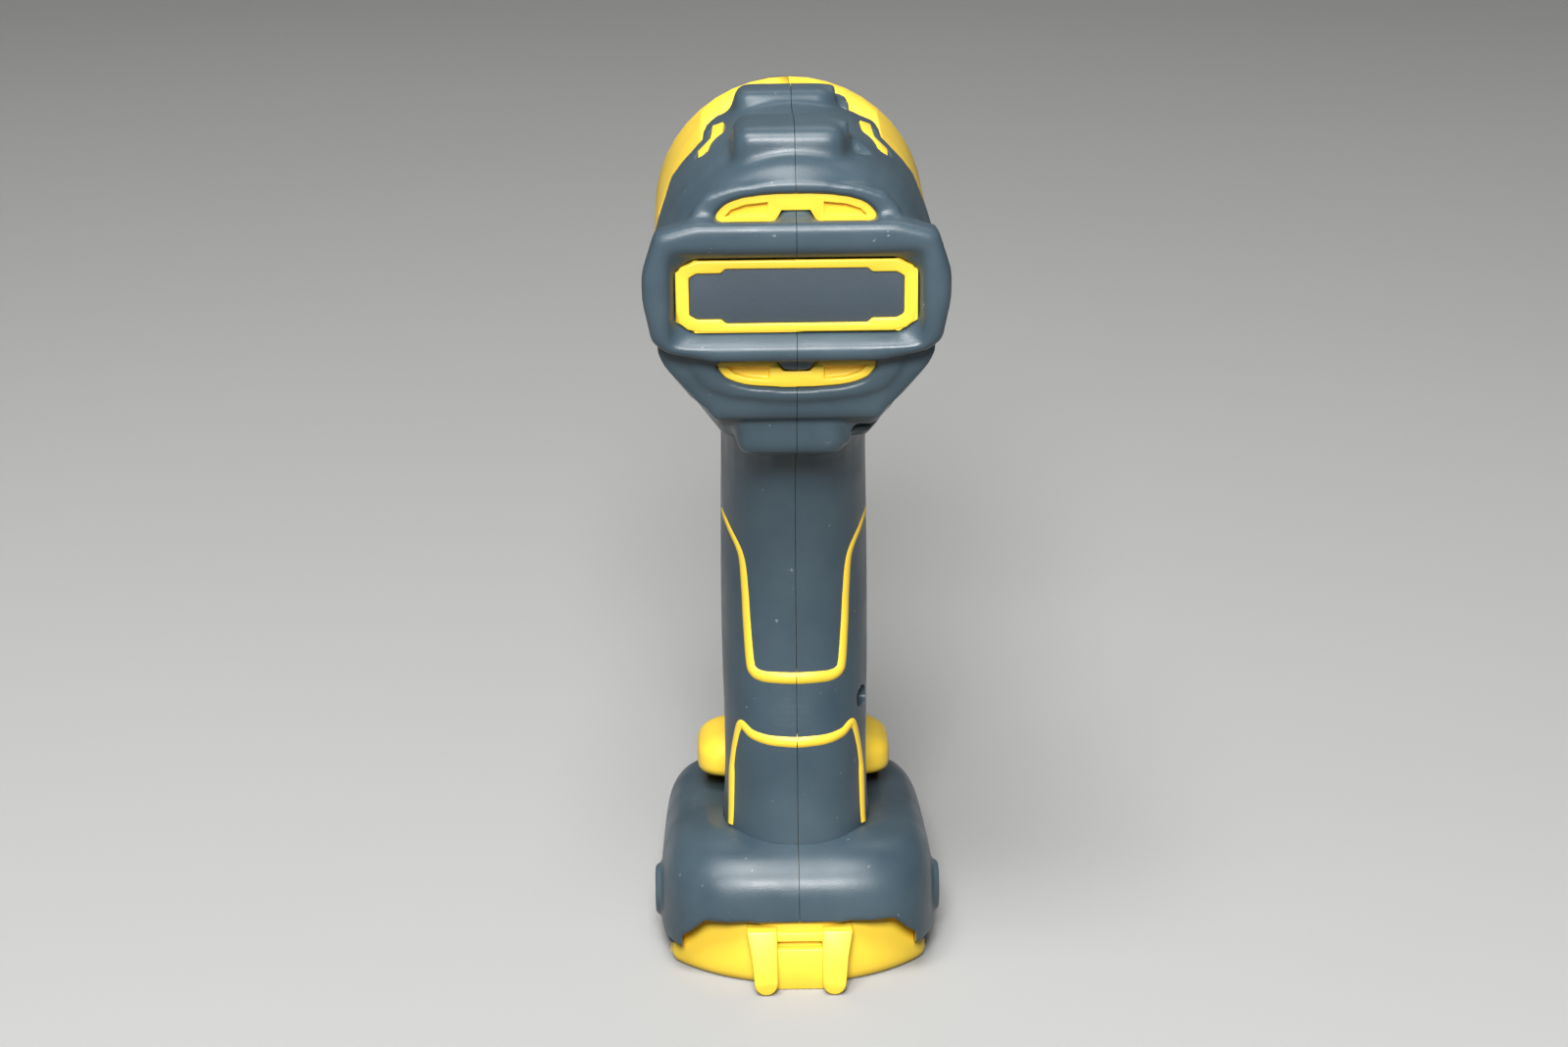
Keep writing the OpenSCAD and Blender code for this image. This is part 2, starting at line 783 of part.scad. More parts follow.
// Bumper outline drawn round the middle of the bumper, shrunk by inset
module bumper_outline(inset) {
  w = bumper_w / 2 - inset;
  h = bumper_h / 2 - inset;
  hull()
    for (s = [-1, 1], i = [0:len(bumper_x_shares) - 1])
      translate([s * w * bumper_x_shares[i], h * bumper_z_shares[i]]) circle(r = bumper_edge / 2,
        $fn = edge_facets);
}

module bumper_slice(y, inset) {
  translate([0, y, bumper_z]) rotate([90, 0, 0]) linear_extrude(seat_gap) bumper_outline(inset);
}

module bumper_block() {
  hull() {
    bumper_slice(tail_y + seat_gap, bumper_edge);
    bumper_slice(tail_y + bumper_edge, 0);
  }
  hull() {
    bumper_slice(tail_y + bumper_edge, 0);
    bumper_slice(tail_y + bumper_t - bumper_edge, 0);
  }
  hull() {
    bumper_slice(tail_y + bumper_t - bumper_edge, 0);
    bumper_slice(tail_y + bumper_t + pedestal_len, bumper_w * (1 - pedestal_share) / 2);
  }
}

// Arched vent above (side 1) or below (side -1) the bumper, grown by o
module vent_arch(side, o, p) {
  w = vent_w / 2 + o;
  h = vent_h + p;
  n = len(vent_x_shares);
  translate([0, head_z])
    scale([1, side])
      polygon(concat(
        [for (i = [0:n - 1]) [-w * vent_x_shares[i], vent_z + (i == 0 ? -p : h * vent_z_shares[i])]],
        [for (i = [n - 1:-1:0]) [w * vent_x_shares[i], vent_z + (i == 0 ? -p : h * vent_z_shares[i])]]
      ));
}

module vent_outline(side, o) {
  difference() {
    vent_arch(side, o, o);
    translate([0, head_z])
      scale([1, side])
        polygon([[-vent_tab_w / 2 + o, vent_z - over], [vent_tab_w / 2 - o, vent_z - over],
          [vent_tab_w / 3 - o, vent_z + vent_tab_h - o], [-vent_tab_w / 3 + o, vent_z + vent_tab_h - o]]);
  }
}

module vent_slots() {
  face = rear_wall_y - vent_sink;
  for (side = [-1, 1], s = [-1, 1]) {
    rear_view(face - over, face + vent_pocket_d)
      translate([0, head_z])
        scale([s, side])
          polygon([for (i = [0:len(vent_pocket_x_shares) - 1])
            [vent_w / 2 * vent_pocket_x_shares[i], vent_z + vent_h * vent_pocket_z_shares[i]]]);
    translate([s * vent_w * vent_slot_x_share, rear_wall_y,
      head_z + side * (vent_z + vent_h * vent_slot_z_share)])
      cube([vent_slot_w, vent_slot_d, vent_slot_h], center = true);
  }
}

// Badge frame outline with clipped corners, grown by o
module frame_outline(o) {
  w = frame_w / 2 + o;
  h = frame_h / 2 + o;
  cw = w * frame_clip_x_share;
  ch = h * frame_clip_z_share;
  translate([0, head_z])
    polygon([[-w, -ch], [-w, ch], [-cw, h], [cw, h], [w, ch], [w, -ch], [cw, -h], [-cw, -h]]);
}

module plate_outline(o) {
  w = frame_w * plate_w_share / 2 + o;
  h = frame_h * plate_h_share / 2 + o;
  d = frame_h * notch_h_share / 2;
  n = w * notch_w_share;
  translate([0, head_z])
    polygon([[-w, -h + d], [-w, h - d], [-n - d, h - d], [-n, h], [n, h], [n + d, h - d], [w, h - d],
      [w, -h + d], [n + d, -h + d], [n, -h], [-n, -h], [-n - d, -h + d]]);
}

// Rubber regions

module top_strip() {
  n = len(top_x_shares);
  side = [for (i = [0:n - 1]) [head_r * top_x_shares[i], rear_wall_y + barrel_len * top_y_shares[i]]];
  other = [for (i = [0:n - 1]) [-side[n - 1 - i][0], side[n - 1 - i][1]]];
  rear = [[-side[0][0], tail_y - over], [side[0][0], tail_y - over]];
  translate([0, 0, head_z]) linear_extrude(reach) polygon(concat(side, other, rear));
}

module windows(o) {
  points = [for (i = [0:len(window_x_shares) - 1])
    [head_r * window_x_shares[i], rear_wall_y + barrel_len * window_y_shares[i]]];
  for (s = [-1, 1])
    translate([0, 0, head_z]) linear_extrude(reach) scale([s, 1]) offset(delta = o) polygon(points);
}

module head_boot_region(o) {
  difference() {
    union() {
      block(-reach, reach, tail_y - over, rear_wall_y + rear_cap_l * high_cap_share + o,
        boot_low_z - o, reach);
      top_region(o);
      block(-reach, reach, tail_y - over, rear_wall_y + rear_cap_l * low_cap_share + o, boot_low_z - o,
        grip_top_z + o);
    }
    windows(seat_gap / 2 - o);
  }
}

module top_region(o) {
  translate([-o, 0, 0]) top_strip();
  translate([o, o, 0]) top_strip();
}

module grip_region(o) {
  difference() {
    block(-reach, reach, -reach, reach, foot_top_z + seat_gap - o, grip_top_z + o);
    block(-reach, reach, tail_y - over, rear_wall_y + rear_cap_l * low_cap_share + seat_gap - o,
      boot_low_z - seat_gap + o, reach);
  }
}

module foot_region(o) {
  block(-reach, reach, -reach, reach, -over, foot_top_z + o);
}

module lines(o) {
  left = along(line_x_shares, line_z_shares, grip_w, head_z);
  saddle = along(saddle_x_shares, saddle_z_shares, grip_w, head_z);
  rear_view(-reach, -line_front_share * grip_d)
    for (s = [-1, 1])
      scale([s, 1]) {
        translate([0, line_bottom_z]) stroke(left, line_w + 2 * o);
        stroke(saddle, line_w + 2 * o);
      }
}

// Openings through the shell

module trigger_way() {
  block(-trigger_w / 2 - move_gap, trigger_w / 2 + move_gap, trigger_y - 2 * trigger_travel, reach,
    trigger_z - trigger_h / 2 - move_gap, trigger_z + trigger_h / 2 + move_gap);
}

module bar_way(g) {
  block(-reach, reach, bar_y - bar_d / 2 - g, bar_y + bar_d / 2 + g, bar_z - bar_h / 2 - g,
    bar_z + bar_h / 2 + g);
}

module screw_ways() {
  for (s = screws) {
    across(-s[3] - seat_gap, reach, s[0], s[1], screw_r + seat_gap);
    across(s[2], reach, s[0], s[1], screw_head_r + 2 * seat_gap);
  }
}

module arch() {
  w = slot_half + seat_gap;
  top = w * arch_share;
  rear_view(foot_y - 2 * over, foot_y + foot_l * arch_l_share)
    polygon([[-w, -over], [w, -over], [w, arch_side], [top, arch_top], [-top, arch_top], [-w,
      arch_side]]);
}

module hook_ways(r) {
  for (s = [-1, 1])
    translate([s * (hook_x - hook_len - seat_gap), hook_y, hook_z])
      rotate([0, s * 90, 0])
        cylinder(r = r, h = reach, $fn = core_facets);
}

// Hollow for everything inside the shell
module cavity() {
  s = [for (share = stator_seat_shares) stator_y + stator_len * share];
  rib = (stator_r + seat_gap) * core_round;
  cr = head_r * motor_bay_share - shell_in;
  cc = (case_r + seat_gap) * core_round;
  cf = (case_seat_r + seat_gap) * core_round;
  turned([[0, cavity_y], [head_r * tail_bay_shares[0] - wall, cavity_y],
    [head_r * tail_bay_shares[1] - shell_in, cavity_y + 2 * wall], [cr, fan_y + fan_w], [cr, s[0]],
      [rib, s[0]],
    [rib, s[1]], [cr, s[1]], [cr, s[2]], [rib, s[2]], [rib, s[3]], [cr, s[3]], [cr, plate_y],
    [cc, plate_y], [cc, flange_y - seat_gap], [cf, flange_y - seat_gap], [cf,
      flange_y + flange_l + seat_gap],
    [cc, flange_y + flange_l + seat_gap], [cc, body_front_y + over], [0, body_front_y + over]],
      core_facets);
  difference() {
    intersection() {
      grip_form(-shell_in, false);
      block(-reach, reach, -reach, reach, foot_h - 2 * wall, head_z);
    }
    block(-reach, reach, -reach, tail_y + tail_block_l, head_z - tail_block_h, head_z);
  }
  intersection() {
    foot_form(-shell_in - foot_extra_wall, false);
    block(-reach, reach, -reach, reach, slot_top - over, reach);
  }
  block(-slot_half, slot_half, foot_y + foot_l * slot_rear_share, slot_front, foot_lift + rail_t,
    slot_top);
  block(-rail_half, rail_half, foot_y - over, slot_front, -over, slot_top);
}

module posts() {
  across(-grip_w * post_grip_share, grip_w * post_grip_share, grip_post_y, grip_post_z, post_r);
  across(-foot_w * post_foot_share, foot_w * post_foot_share, foot_post_y, foot_post_z, post_r);
  across(-foot_w * post_front_share, foot_w * post_front_share, front_post_y, front_post_z, post_r);
}

module ribs() {
  out = grip_w / 2 - wall;
  y0 = switch_y + switch_l * rib_share;
  y1 = module_y + module_d * module_rib_share;
  for (s = [0, 1])
    mirror([s, 0, 0]) {
      block(switch_w / 2 + seat_gap, out, y0, y0 + rib_t, trigger_z - switch_h * rib_share,
        trigger_z + switch_h * rib_share);
      block(module_w / 2 + seat_gap, out, y1, y1 + rib_t, module_z + wall, module_z + module_h - wall);
    }
}

module housing(side) {
  half(side)
    difference() {
      union() {
        difference() {
          outside();
          cavity();
        }
        intersection() {
          form(-core_in, false);
          union() {
            posts();
            ribs();
          }
        }
        turned([[bearing_r + seat_gap, cavity_y - over], [bearing_r + wall, cavity_y - over],
          [bearing_r + wall, cavity_y + bearing_w], [bearing_r + seat_gap, cavity_y + bearing_w]],
            core_facets);
      }
      vent_slots();
      rear_view(tail_y, tail_y + frame_sink + badge_t + seat_gap) plate_outline(seat_gap);
      trigger_way();
      bar_way(move_gap);
      arch();
      hook_ways(hook_body_r + seat_gap);
      block(-lens_w / 2 - seat_gap, lens_w / 2 + seat_gap, lens_back - 2 * board_t, lamp_y + over,
        lamp_z - lens_h / 2 - seat_gap, lamp_z + lens_h / 2 + seat_gap);
      screw_ways();
    }
}

// Plastic shell before it is hollowed: bare yellow areas stand above the rubber's bed
module outside() {
  difference() {
    union() {
      barrel(0);
      bosses(0);
      grip_form(0, false);
    }
    head_boot_region(seat_gap / 2);
    grip_region(seat_gap / 2);
    foot_region(seat_gap / 2);
  }
  form(-core_in, false);
  intersection() {
    grip_form(skin_proud * skin_low_share, false);
    lines(-seat_gap);
  }
  intersection() {
    barrel(skin_proud * window_rise_share);
    windows(-seat_gap / 2);
  }
  for (v = [-1, 1])
    rear_view(rear_wall_y - vent_sink, rear_wall_y + shell_in) vent_outline(v, -seat_gap);
  rear_view(tail_y + frame_sink, rear_wall_y + shell_in) frame_outline(0);
  pod_form();
}

module left_housing() color("gold") housing(-1);
module right_housing() color("gold") housing(1);

module rubber(side) {
  half(side)
    difference() {
      children(0);
      form(-skin_depth, false);
      lines(seat_gap);
      cavity();
      pod_clear();
      trigger_way();
      bar_way(move_gap);
      arch();
      hook_ways(hook_body_r + wall);
      for (s = screws) across(s[2], reach, s[0], s[1], screw_head_r + 3 * seat_gap);
    }
}

module pod_clear() {
  translate([0, 0, -seat_gap]) pod_form();
  translate([0, seat_gap, seat_gap]) pod_form();
  translate([0, -seat_gap, 0]) pod_form();
}

// Rubber cheeks that run from under the bumper in to the handle
module jaw_slice(y, share) {
  points = [for (i = [0:len(jaw_x_shares) - 1])
    [bumper_w * jaw_x_shares[i] * share, head_z - head_r * jaw_z_shares[i] * share]];
  n = len(points);
  rear_view(y, y + seat_gap)
    polygon(concat(points, [for (i = [n - 1:-1:0]) [-points[i][0], points[i][1]]]));
}

module jaw() {
  w = bumper_w * jaw_foot_share;
  z = head_z - jaw_foot_drop;
  hull() {
    jaw_slice(rear_wall_y - jaw_back, 1);
    jaw_slice(rear_wall_y + jaw_len * jaw_mid_share, 1);
    jaw_slice(rear_wall_y + jaw_len, jaw_end_share);
    block(-w, w, rear_wall_y + jaw_foot_in, rear_wall_y + jaw_foot_in + jaw_len, z, z + seat_gap);
  }
}

module head_boot(side) {
  rubber(side)
    difference() {
      union() {
        intersection() {
          form(skin_proud);
          head_boot_region(0);
        }
        bumper_block();
        intersection() {
          jaw();
          head_boot_region(0);
        }
        for (v = [-1, 1])
          intersection() {
            rear_view(rear_wall_y - 2 * skin_proud, rear_wall_y + skin_depth) vent_arch(v, vent_rim_w,
              vent_rim_h);
            block(-reach, reach, -reach, reach, boot_low_z, reach);
          }
      }
      for (v = [-1, 1])
        rear_view(tail_y + bumper_t * vent_cut_share,
          rear_wall_y + pedestal_len + skin_depth) vent_outline(v, 0);
      rear_view(tail_y - over, rear_wall_y + shell_in + over) frame_outline(seat_gap);
      hull() {
        translate([0, tail_y - over / 2, head_z]) cube([pocket_w, over, pocket_h], center = true);
        rear_view(tail_y + frame_sink, tail_y + frame_sink + seat_gap) frame_outline(seat_gap);
      }
    }
}

module left_head_boot() color("dimgray") head_boot(-1);
module right_head_boot() color("dimgray") head_boot(1);

// Region inside the saddle line at the heel of the handle
module heel_region() {
  top = along(saddle_x_shares, saddle_z_shares, grip_w, head_z);
  n = len(top);
  rear_view(-reach, -line_front_share * grip_d)
    polygon(concat(
      [[-top[n - 1][0], foot_top_z - over]],
      [for (i = [0:n - 1]) [-top[n - 1 - i][0], top[n - 1 - i][1]]],
      top,
      [[top[n - 1][0], foot_top_z - over]]
    ));
}

module grip(side) {
  rubber(side)
    difference() {
      intersection() {
        union() {
          form(skin_proud);
          jaw();
        }
        grip_region(0);
      }
      heel_region();
    }
}

module heel_pad(side) {
  rubber(side)
    intersection() {
      grip_form(skin_proud);
      grip_region(0);
      heel_region();
    }
}

module left_heel_pad() color("dimgray") heel_pad(-1);
module right_heel_pad() color("dimgray") heel_pad(1);
module left_grip() color("dimgray") grip(-1);
module right_grip() color("dimgray") grip(1);

module foot_boot(side) {
  rubber(side)
    union() {
      intersection() {
        form(skin_proud * skin_low_share);
        foot_region(0);
        block(-reach, reach, -reach, reach, foot_lift, reach);
      }
      for (s = [-1, 1])
        translate([s * (hook_x - hook_len), hook_y, hook_z])
          rotate([0, s * 90, 0])
            cylinder(r = hook_pad_r, h = hook_len + skin_proud * skin_low_share + hook_pad_t,
              $fn = core_facets);
    }
}

module left_foot_boot() color("dimgray") foot_boot(-1);
module right_foot_boot() color("dimgray") foot_boot(1);

module badge_plate() {
  color("slategray") rear_view(tail_y + frame_sink, tail_y + frame_sink + badge_t) plate_outline(0);
}

module housing_screws() {
  color("silver")
    for (s = screws)
      translate([0, s[0], s[1]])
        rotate([0, 90, 0])
          difference() {
            union() {
              translate([0, 0, -s[3]])
                cylinder(r = screw_r, h = s[3] + s[2] + seat_gap + over / 2, $fn = round_facets);
              translate([0, 0, s[2] + seat_gap]) cylinder(r = screw_head_r, h = screw_head_t,
                $fn = round_facets);
            }
            translate([0, 0, s[2] + screw_head_t / 2]) cylinder(r = screw_r, h = screw_head_t, $fn = 6);
          }
}

// Nose

// Outer line of the hammer case from its straight wall to the bush, grown by o
function nose_line(o) = [
  [case_r + o, hammer_end - nose_round],
  [case_r - nose_round + o, hammer_end + nose_round],
  [wing_r + case_wall + o, hammer_end + 2 * nose_round],
  [wing_r + case_wall - nose_round + o, case_floor_y + nose_round],
  [nose_tip_r + o, case_floor_y + 2 * nose_round]
];
function turn_back(v) = [for (i = [len(v) - 1:-1:0]) v[i]];

module nose_boot() {
  y0 = body_front_y + 2 * seat_gap;
  y1 = case_end - nose_round;
  r0 = head_r - nose_flange_in;
  color("dimgray")
    turned(concat(
      [[case_r + seat_gap, y0], [r0, y0], [r0, y0 + nose_flange_shares[0] * nose_flange_l],
        [r0 - nose_flange_shares[1] * nose_flange_l, y0 + nose_flange_l],
        [case_r + nose_neck_share * nose_skin, y0 + 2 * nose_flange_l]],
      nose_line(nose_skin),
      [[nose_tip_r + nose_skin, y1 - nose_skin / 2], [nose_tip_r + nose_skin / 2, y1],
        [nose_tip_r + seat_gap, y1]],
      turn_back(nose_line(seat_gap))
    ));
}

module hammer_case() {
  y0 = plate_y + nose_round;
  inner = hammer_r + hammer_room;
  seat = plate_r + seat_gap;
  bush = anvil_r + bush_wall + seat_gap;
  floor_r = wing_r + 2 * move_gap;
  color("gray")
    turned(concat(
      [[seat, y0], [case_r, y0], [case_r, flange_y], [case_seat_r, flange_y],
        [case_seat_r, flange_y + flange_l], [case_r, flange_y + flange_l]],
      nose_line(0),
      [[nose_tip_r, case_end], [bush, case_end], [bush, case_floor_y], [floor_r, case_floor_y],
        [floor_r, hammer_end + nose_round], [inner, hammer_end + move_gap], [inner, plate_end + seat_gap],
        [seat, plate_end + seat_gap]]
    ));
}

module anvil_bush() {
  color("peru") ring(case_floor_y + seat_gap, bush_len - 2 * seat_gap, anvil_r + bush_wall,
    anvil_r + run_gap);
}

// Chuck

// Two opposed sectors out to radius r, from y over a length
module sectors(y, length, r, half_angle, turn) {
  on_axis(y)
    rotate([0, 0, turn])
      intersection() {
        cylinder(r = r, h = length, $fn = round_facets);
        linear_extrude(length)
          for (s = [0, 180])
            rotate(s) polygon([[0, 0], [2 * r * cos(half_angle), -2 * r * sin(half_angle)],
              [2 * r * cos(half_angle), 2 * r * sin(half_angle)]]);
      }
}

module anvil() {
  color("dimgray")
    difference() {
      union() {
        sectors(wing_y, lug_len, wing_r, wing_half, wing_turn);
        on_axis(wing_y) cylinder(r = hub_r, h = lug_len, $fn = round_facets);
        on_axis(wing_y) cylinder(r = anvil_r, h = nose_y - wing_y, $fn = round_facets);
      }
      on_axis(wing_y - over) cylinder(r = pilot_r + run_gap, h = pilot_len + over, $fn = round_facets);
      on_axis(nose_y - socket_depth) cylinder(d = socket_af / cos(30), h = socket_depth + over, $fn = 6);
      translate([0, lock_y, head_z])
        rotate([0, 90, 0])
          cylinder(r = lock_ball_r + seat_gap, h = 4 * anvil_r, center = true, $fn = round_facets);
      ring(snap_y, groove_t, anvil_r + over, anvil_r - groove_d);
    }
}

module chuck_collar() {
  c = collar_r;
  color("darkgray")
    turned([[anvil_r + run_gap, collar_y], [c - collar_chamfer, collar_y], [c, collar_y + collar_chamfer],
      [c, collar_y + collar_band], [c - collar_waist, collar_y + collar_waist_in],
      [c - collar_waist, collar_end - collar_waist_out], [c - collar_lip, collar_end - collar_lip_in],
      [c - collar_nose, collar_end], [collar_bore_r, collar_end], [collar_bore_r,
        collar_y + collar_step_l],
      [anvil_r + run_gap, collar_y + collar_step_l]]);
}

module collar_spring() {
  color("silver")
    coil(0, head_z, collar_y + collar_step_l + seat_gap, washer_y - seat_gap,
      (anvil_r + collar_bore_r) / 2,
      collar_wire_r, collar_turns, coil_steps);
}

module collar_washer() color("silver") ring(washer_y, washer_t, collar_bore_r - 2 * seat_gap,
  anvil_r + run_gap);

module snap_ring() {
  color("gray")
    on_axis(snap_y + seat_gap / 2)
      rotate_extrude(angle = snap_angle, $fn = round_facets)
        translate([anvil_r - snap_in, 0]) square([snap_w, groove_t - seat_gap]);
}

module lock_balls() {
  color("silver")
    for (s = [-1, 1])
      translate([s * (anvil_r - lock_ball_r - lock_sink), lock_y, head_z]) sphere(r = lock_ball_r,
        $fn = round_facets);
}

// Hammer and cam shaft

module hammer() {
  color("slategray")
    difference() {
      union() {
        ring(hammer_y, hammer_len, hammer_r, cam_r + run_gap);
        difference() {
          sectors(hammer_end - over, lug_len + over, wing_r, lug_half, 0);
          on_axis(hammer_end - 2 * over) cylinder(r = lug_in, h = lug_len + 3 * over, $fn = round_facets);
        }
      }
      ring(hammer_y - over, pocket_l + over, pocket_out, pocket_in);
      for (s = [-1, 1])
        translate([0, cam_ball_y, head_z + s * cam_r])
          rotate([-90, 0, 0]) {
            sphere(r = cam_ball_r + seat_gap, $fn = round_facets);
            cylinder(r = cam_ball_r + seat_gap, h = hammer_travel + over, $fn = round_facets);
          }
    }
}

module hammer_spring() {
  color("silver")
    coil(0, head_z, front_disc_end + spring_washer_t + 2 * seat_gap, hammer_y + pocket_l - seat_gap,
      hammer_spring_r,
      hammer_wire_r, hammer_turns, coil_steps);
}

module spring_washer() {
  color("silver") ring(front_disc_end + seat_gap, spring_washer_t, pocket_out - 2 * seat_gap,
    cam_r + run_gap);
}

module cam_balls() {
  color("silver")
    for (s = [-1, 1])
      translate([0, cam_ball_y, head_z + s * cam_r]) sphere(r = cam_ball_r, $fn = round_facets);
}

module cam_shaft() {
  color("gray")
    difference() {
      union() {
        ring(carrier_bearing_y + move_gap, carrier_y - carrier_bearing_y - move_gap + disc_t,
          carrier_hub_r, sun_clear_r);
        ring(carrier_y, disc_t, disc_r, sun_clear_r);
        on_axis(front_disc_y) cylinder(r = disc_r, h = front_disc_t, $fn = round_facets);
        on_axis(front_disc_end - over)
          cylinder(r = cam_r, h = wing_y - front_disc_end - move_gap + over, $fn = round_facets);
        on_axis(wing_y - over) cylinder(r = pilot_r, h = pilot_len - move_gap + over, $fn = round_facets);
        for (i = [0:2])
          on_axis(carrier_y)
            rotate(60 + 120 * i)
              translate([planet_orbit, 0, 0])
                cylinder(r = pillar_r, h = front_disc_y - carrier_y + disc_t, $fn = round_facets);
      }
      for (i = [0:2])
        on_axis(carrier_y - over)
          rotate(120 * i)
            translate([planet_orbit, 0, 0])
              cylinder(r = pin_r + run_gap, h = front_disc_end - carrier_y + 2 * over,
                $fn = round_facets);
      for (s = [-1, 1])
        translate([0, cam_ball_y, head_z + s * cam_r]) sphere(r = cam_ball_r + run_gap,
          $fn = round_facets);
    }
}

module planet_pins() {
  color("silver")
    for (i = [0:2])
      on_axis(carrier_y)
        rotate(120 * i)
          translate([planet_orbit, 0, 0])
            cylinder(r = pin_r, h = front_disc_end - carrier_y, $fn = round_facets);
}

// Involute gear outline: tip and root as heights from the pitch circle, tooth thinned by thin
function roll(base, r) = let (a = acos(min(1, base / r))) tan(a) * 180 / PI - a;
function gear_points(teeth, tip, root, thin) =
  let (rp = gear_module * teeth / 2, base = rp * cos(tooth_angle), lo = rp - root, hi = rp + tip,
    mid = 90 / teeth - thin / rp * 90 / PI + roll(base, rp),
    radii = [lo, max(lo, base), rp - root * flank_low_share, rp, rp + tip * flank_high_share, hi])
  [for (i = [0:teeth - 1], side = [-1, 1], k = [0:len(radii) - 1])
    let (r = radii[side < 0 ? k : len(radii) - 1 - k], a = 360 * i / teeth + side * (mid - roll(base,
      max(base, r))))
    [r * cos(a), r * sin(a)]];

module planet(i) {
  phi = 120 * i;
  turn = phi + 180 + phi * sun_teeth / planet_teeth - 180 / planet_teeth;
  color("silver")
    on_axis(planet_y)
      rotate(phi)
        translate([planet_orbit, 0, 0])
          rotate(turn - phi)
            difference() {
              linear_extrude(gear_w) polygon(gear_points(planet_teeth, addendum, dedendum, backlash));
              translate([0, 0, -over]) cylinder(r = pin_r + run_gap, h = gear_w + 2 * over,
                $fn = round_facets);
            }
}

module planet_gear_1() planet(0);
module planet_gear_2() planet(1);
module planet_gear_3() planet(2);

module ring_gear() {
  r = hammer_r + hammer_room - seat_gap;
  color("gray")
    on_axis(carrier_y + disc_t)
      linear_extrude(front_disc_y - carrier_y - disc_t)
        difference() {
          circle(r = r, $fn = round_facets);
          rotate(180 / ring_teeth) polygon(gear_points(ring_teeth, dedendum, addendum, -backlash));
        }
}

// Motor

module carrier_bearing() {
  color("silver")
    bearing(carrier_bearing_y + seat_gap, carrier_bearing_w - seat_gap, carrier_bearing_r,
      carrier_hub_r + run_gap);
}

// Ball bearing as one ring with a shield groove in each face
module bearing(y, w, outer, inner) {
  a = inner + (outer - inner) * shield_shares[0];
  b = inner + (outer - inner) * shield_shares[1];
  d = w * shield_depth_share;
  turned([[inner, y], [a, y], [a, y + d], [b, y + d], [b, y], [outer, y], [outer, y + w], [b, y + w],
    [b, y + w - d], [a, y + w - d], [a, y + w], [inner, y + w]]);
}

module motor_plate() {
  f = front_bearing_y + bearing_w;
  color("gray")
    turned([[bearing_r + seat_gap, plate_y], [plate_r, plate_y], [plate_r, plate_end],
      [carrier_bearing_r + seat_gap, plate_end], [carrier_bearing_r + seat_gap, carrier_bearing_y],
      [sun_clear_r, carrier_bearing_y], [sun_clear_r, f], [bearing_r + seat_gap, f]]);
}

module front_bearing() {
  color("silver") bearing(front_bearing_y, bearing_w - seat_gap, bearing_r, shaft_r + run_gap);
}

module rear_bearing() {
  color("silver") bearing(rear_bearing_y, bearing_w - seat_gap, bearing_r, shaft_r + run_gap);
}

module rotor_shaft() {
  y0 = rear_bearing_y;
  color("silver") {
    on_axis(y0) cylinder(r = shaft_r, h = planet_y - y0 + over, $fn = round_facets);
    on_axis(planet_y) linear_extrude(gear_w) polygon(gear_points(sun_teeth, addendum, dedendum,
      backlash));
  }
}

module rotor_core() color("dimgray") ring(stator_y, stator_len, rotor_r, shaft_r + run_gap);

module fan() {
  t = blade_wall;
  color("dimgray")
    difference() {
      on_axis(fan_y) {
        cylinder(r = fan_r, h = t, $fn = round_facets);
        cylinder(r = 2 * shaft_r, h = fan_w, $fn = round_facets);
        for (i = [0:blades - 1])
          rotate(360 * i / blades) translate([fan_r * blade_in_share, -t / 2,
            0]) cube([fan_r * blade_out_share, t, fan_w]);
      }
      on_axis(fan_y - over) cylinder(r = shaft_r + run_gap, h = fan_w + 2 * over, $fn = round_facets);
    }
}

module stator_core() {
  color("silver")
    on_axis(stator_y)
      linear_extrude(stator_len)
        difference() {
          union() {
            difference() {
              circle(r = stator_r, $fn = round_facets);
              circle(r = stator_r - yoke_t, $fn = round_facets);
            }
            for (i = [0:slots - 1])
              rotate(360 * i / slots) {
                translate([bore_r - over, -tooth_w / 2])
                  square([stator_r - yoke_t - bore_r + 2 * over, tooth_w]);
                translate([bore_r - over, -shoe_w / 2]) square([shoe_t + over, shoe_w]);
              }
          }
          circle(r = bore_r, $fn = round_facets);
        }
}

module stator_coils() {
  w = shoe_w - 2 * coil_side;
  r0 = bore_r + shoe_t + seat_gap;
  r1 = stator_r - yoke_t - coil_back;
  color("peru")
    for (i = [0:slots - 1])
      on_axis(coil_y)
        rotate(360 * i / slots)
          difference() {
            translate([r0, -w / 2, 0]) cube([r1 - r0, w, stator_len + 2 * coil_over]);
            translate([r0 - over, -tooth_w / 2 - seat_gap, coil_over - seat_gap])
              cube([r1 - r0 + 2 * over, tooth_w + 2 * seat_gap, stator_len + 2 * seat_gap]);
          }
}

module sensor_board() color("darkgreen") ring(board_y, board_t, stator_r - board_rim,
  bore_r + board_bore);

// Controls

module trigger() {
  w = trigger_w;
  low = trigger_z - trigger_h / 2;
  dish_r = trigger_h * trigger_dish_share;
  color("dimgray") {
    side_view(-w / 2, w / 2)
      difference() {
        translate([trigger_y, low]) square([trigger_l, trigger_h]);
        translate([trigger_y + trigger_l * trigger_waist_share + dish_r,
          trigger_z - trigger_h * trigger_dish_drop_share])
          circle(r = dish_r, $fn = round_facets);
        translate([trigger_y + trigger_l, low])
          rotate(-trigger_lip_turn) square([trigger_l * trigger_lip_share, trigger_h / 2], center = true);
      }
    translate([0, trigger_y + over, trigger_z])
      rotate([90, 0, 0]) cylinder(r = stem_r, h = trigger_travel + stem_in, $fn = round_facets);
  }
}

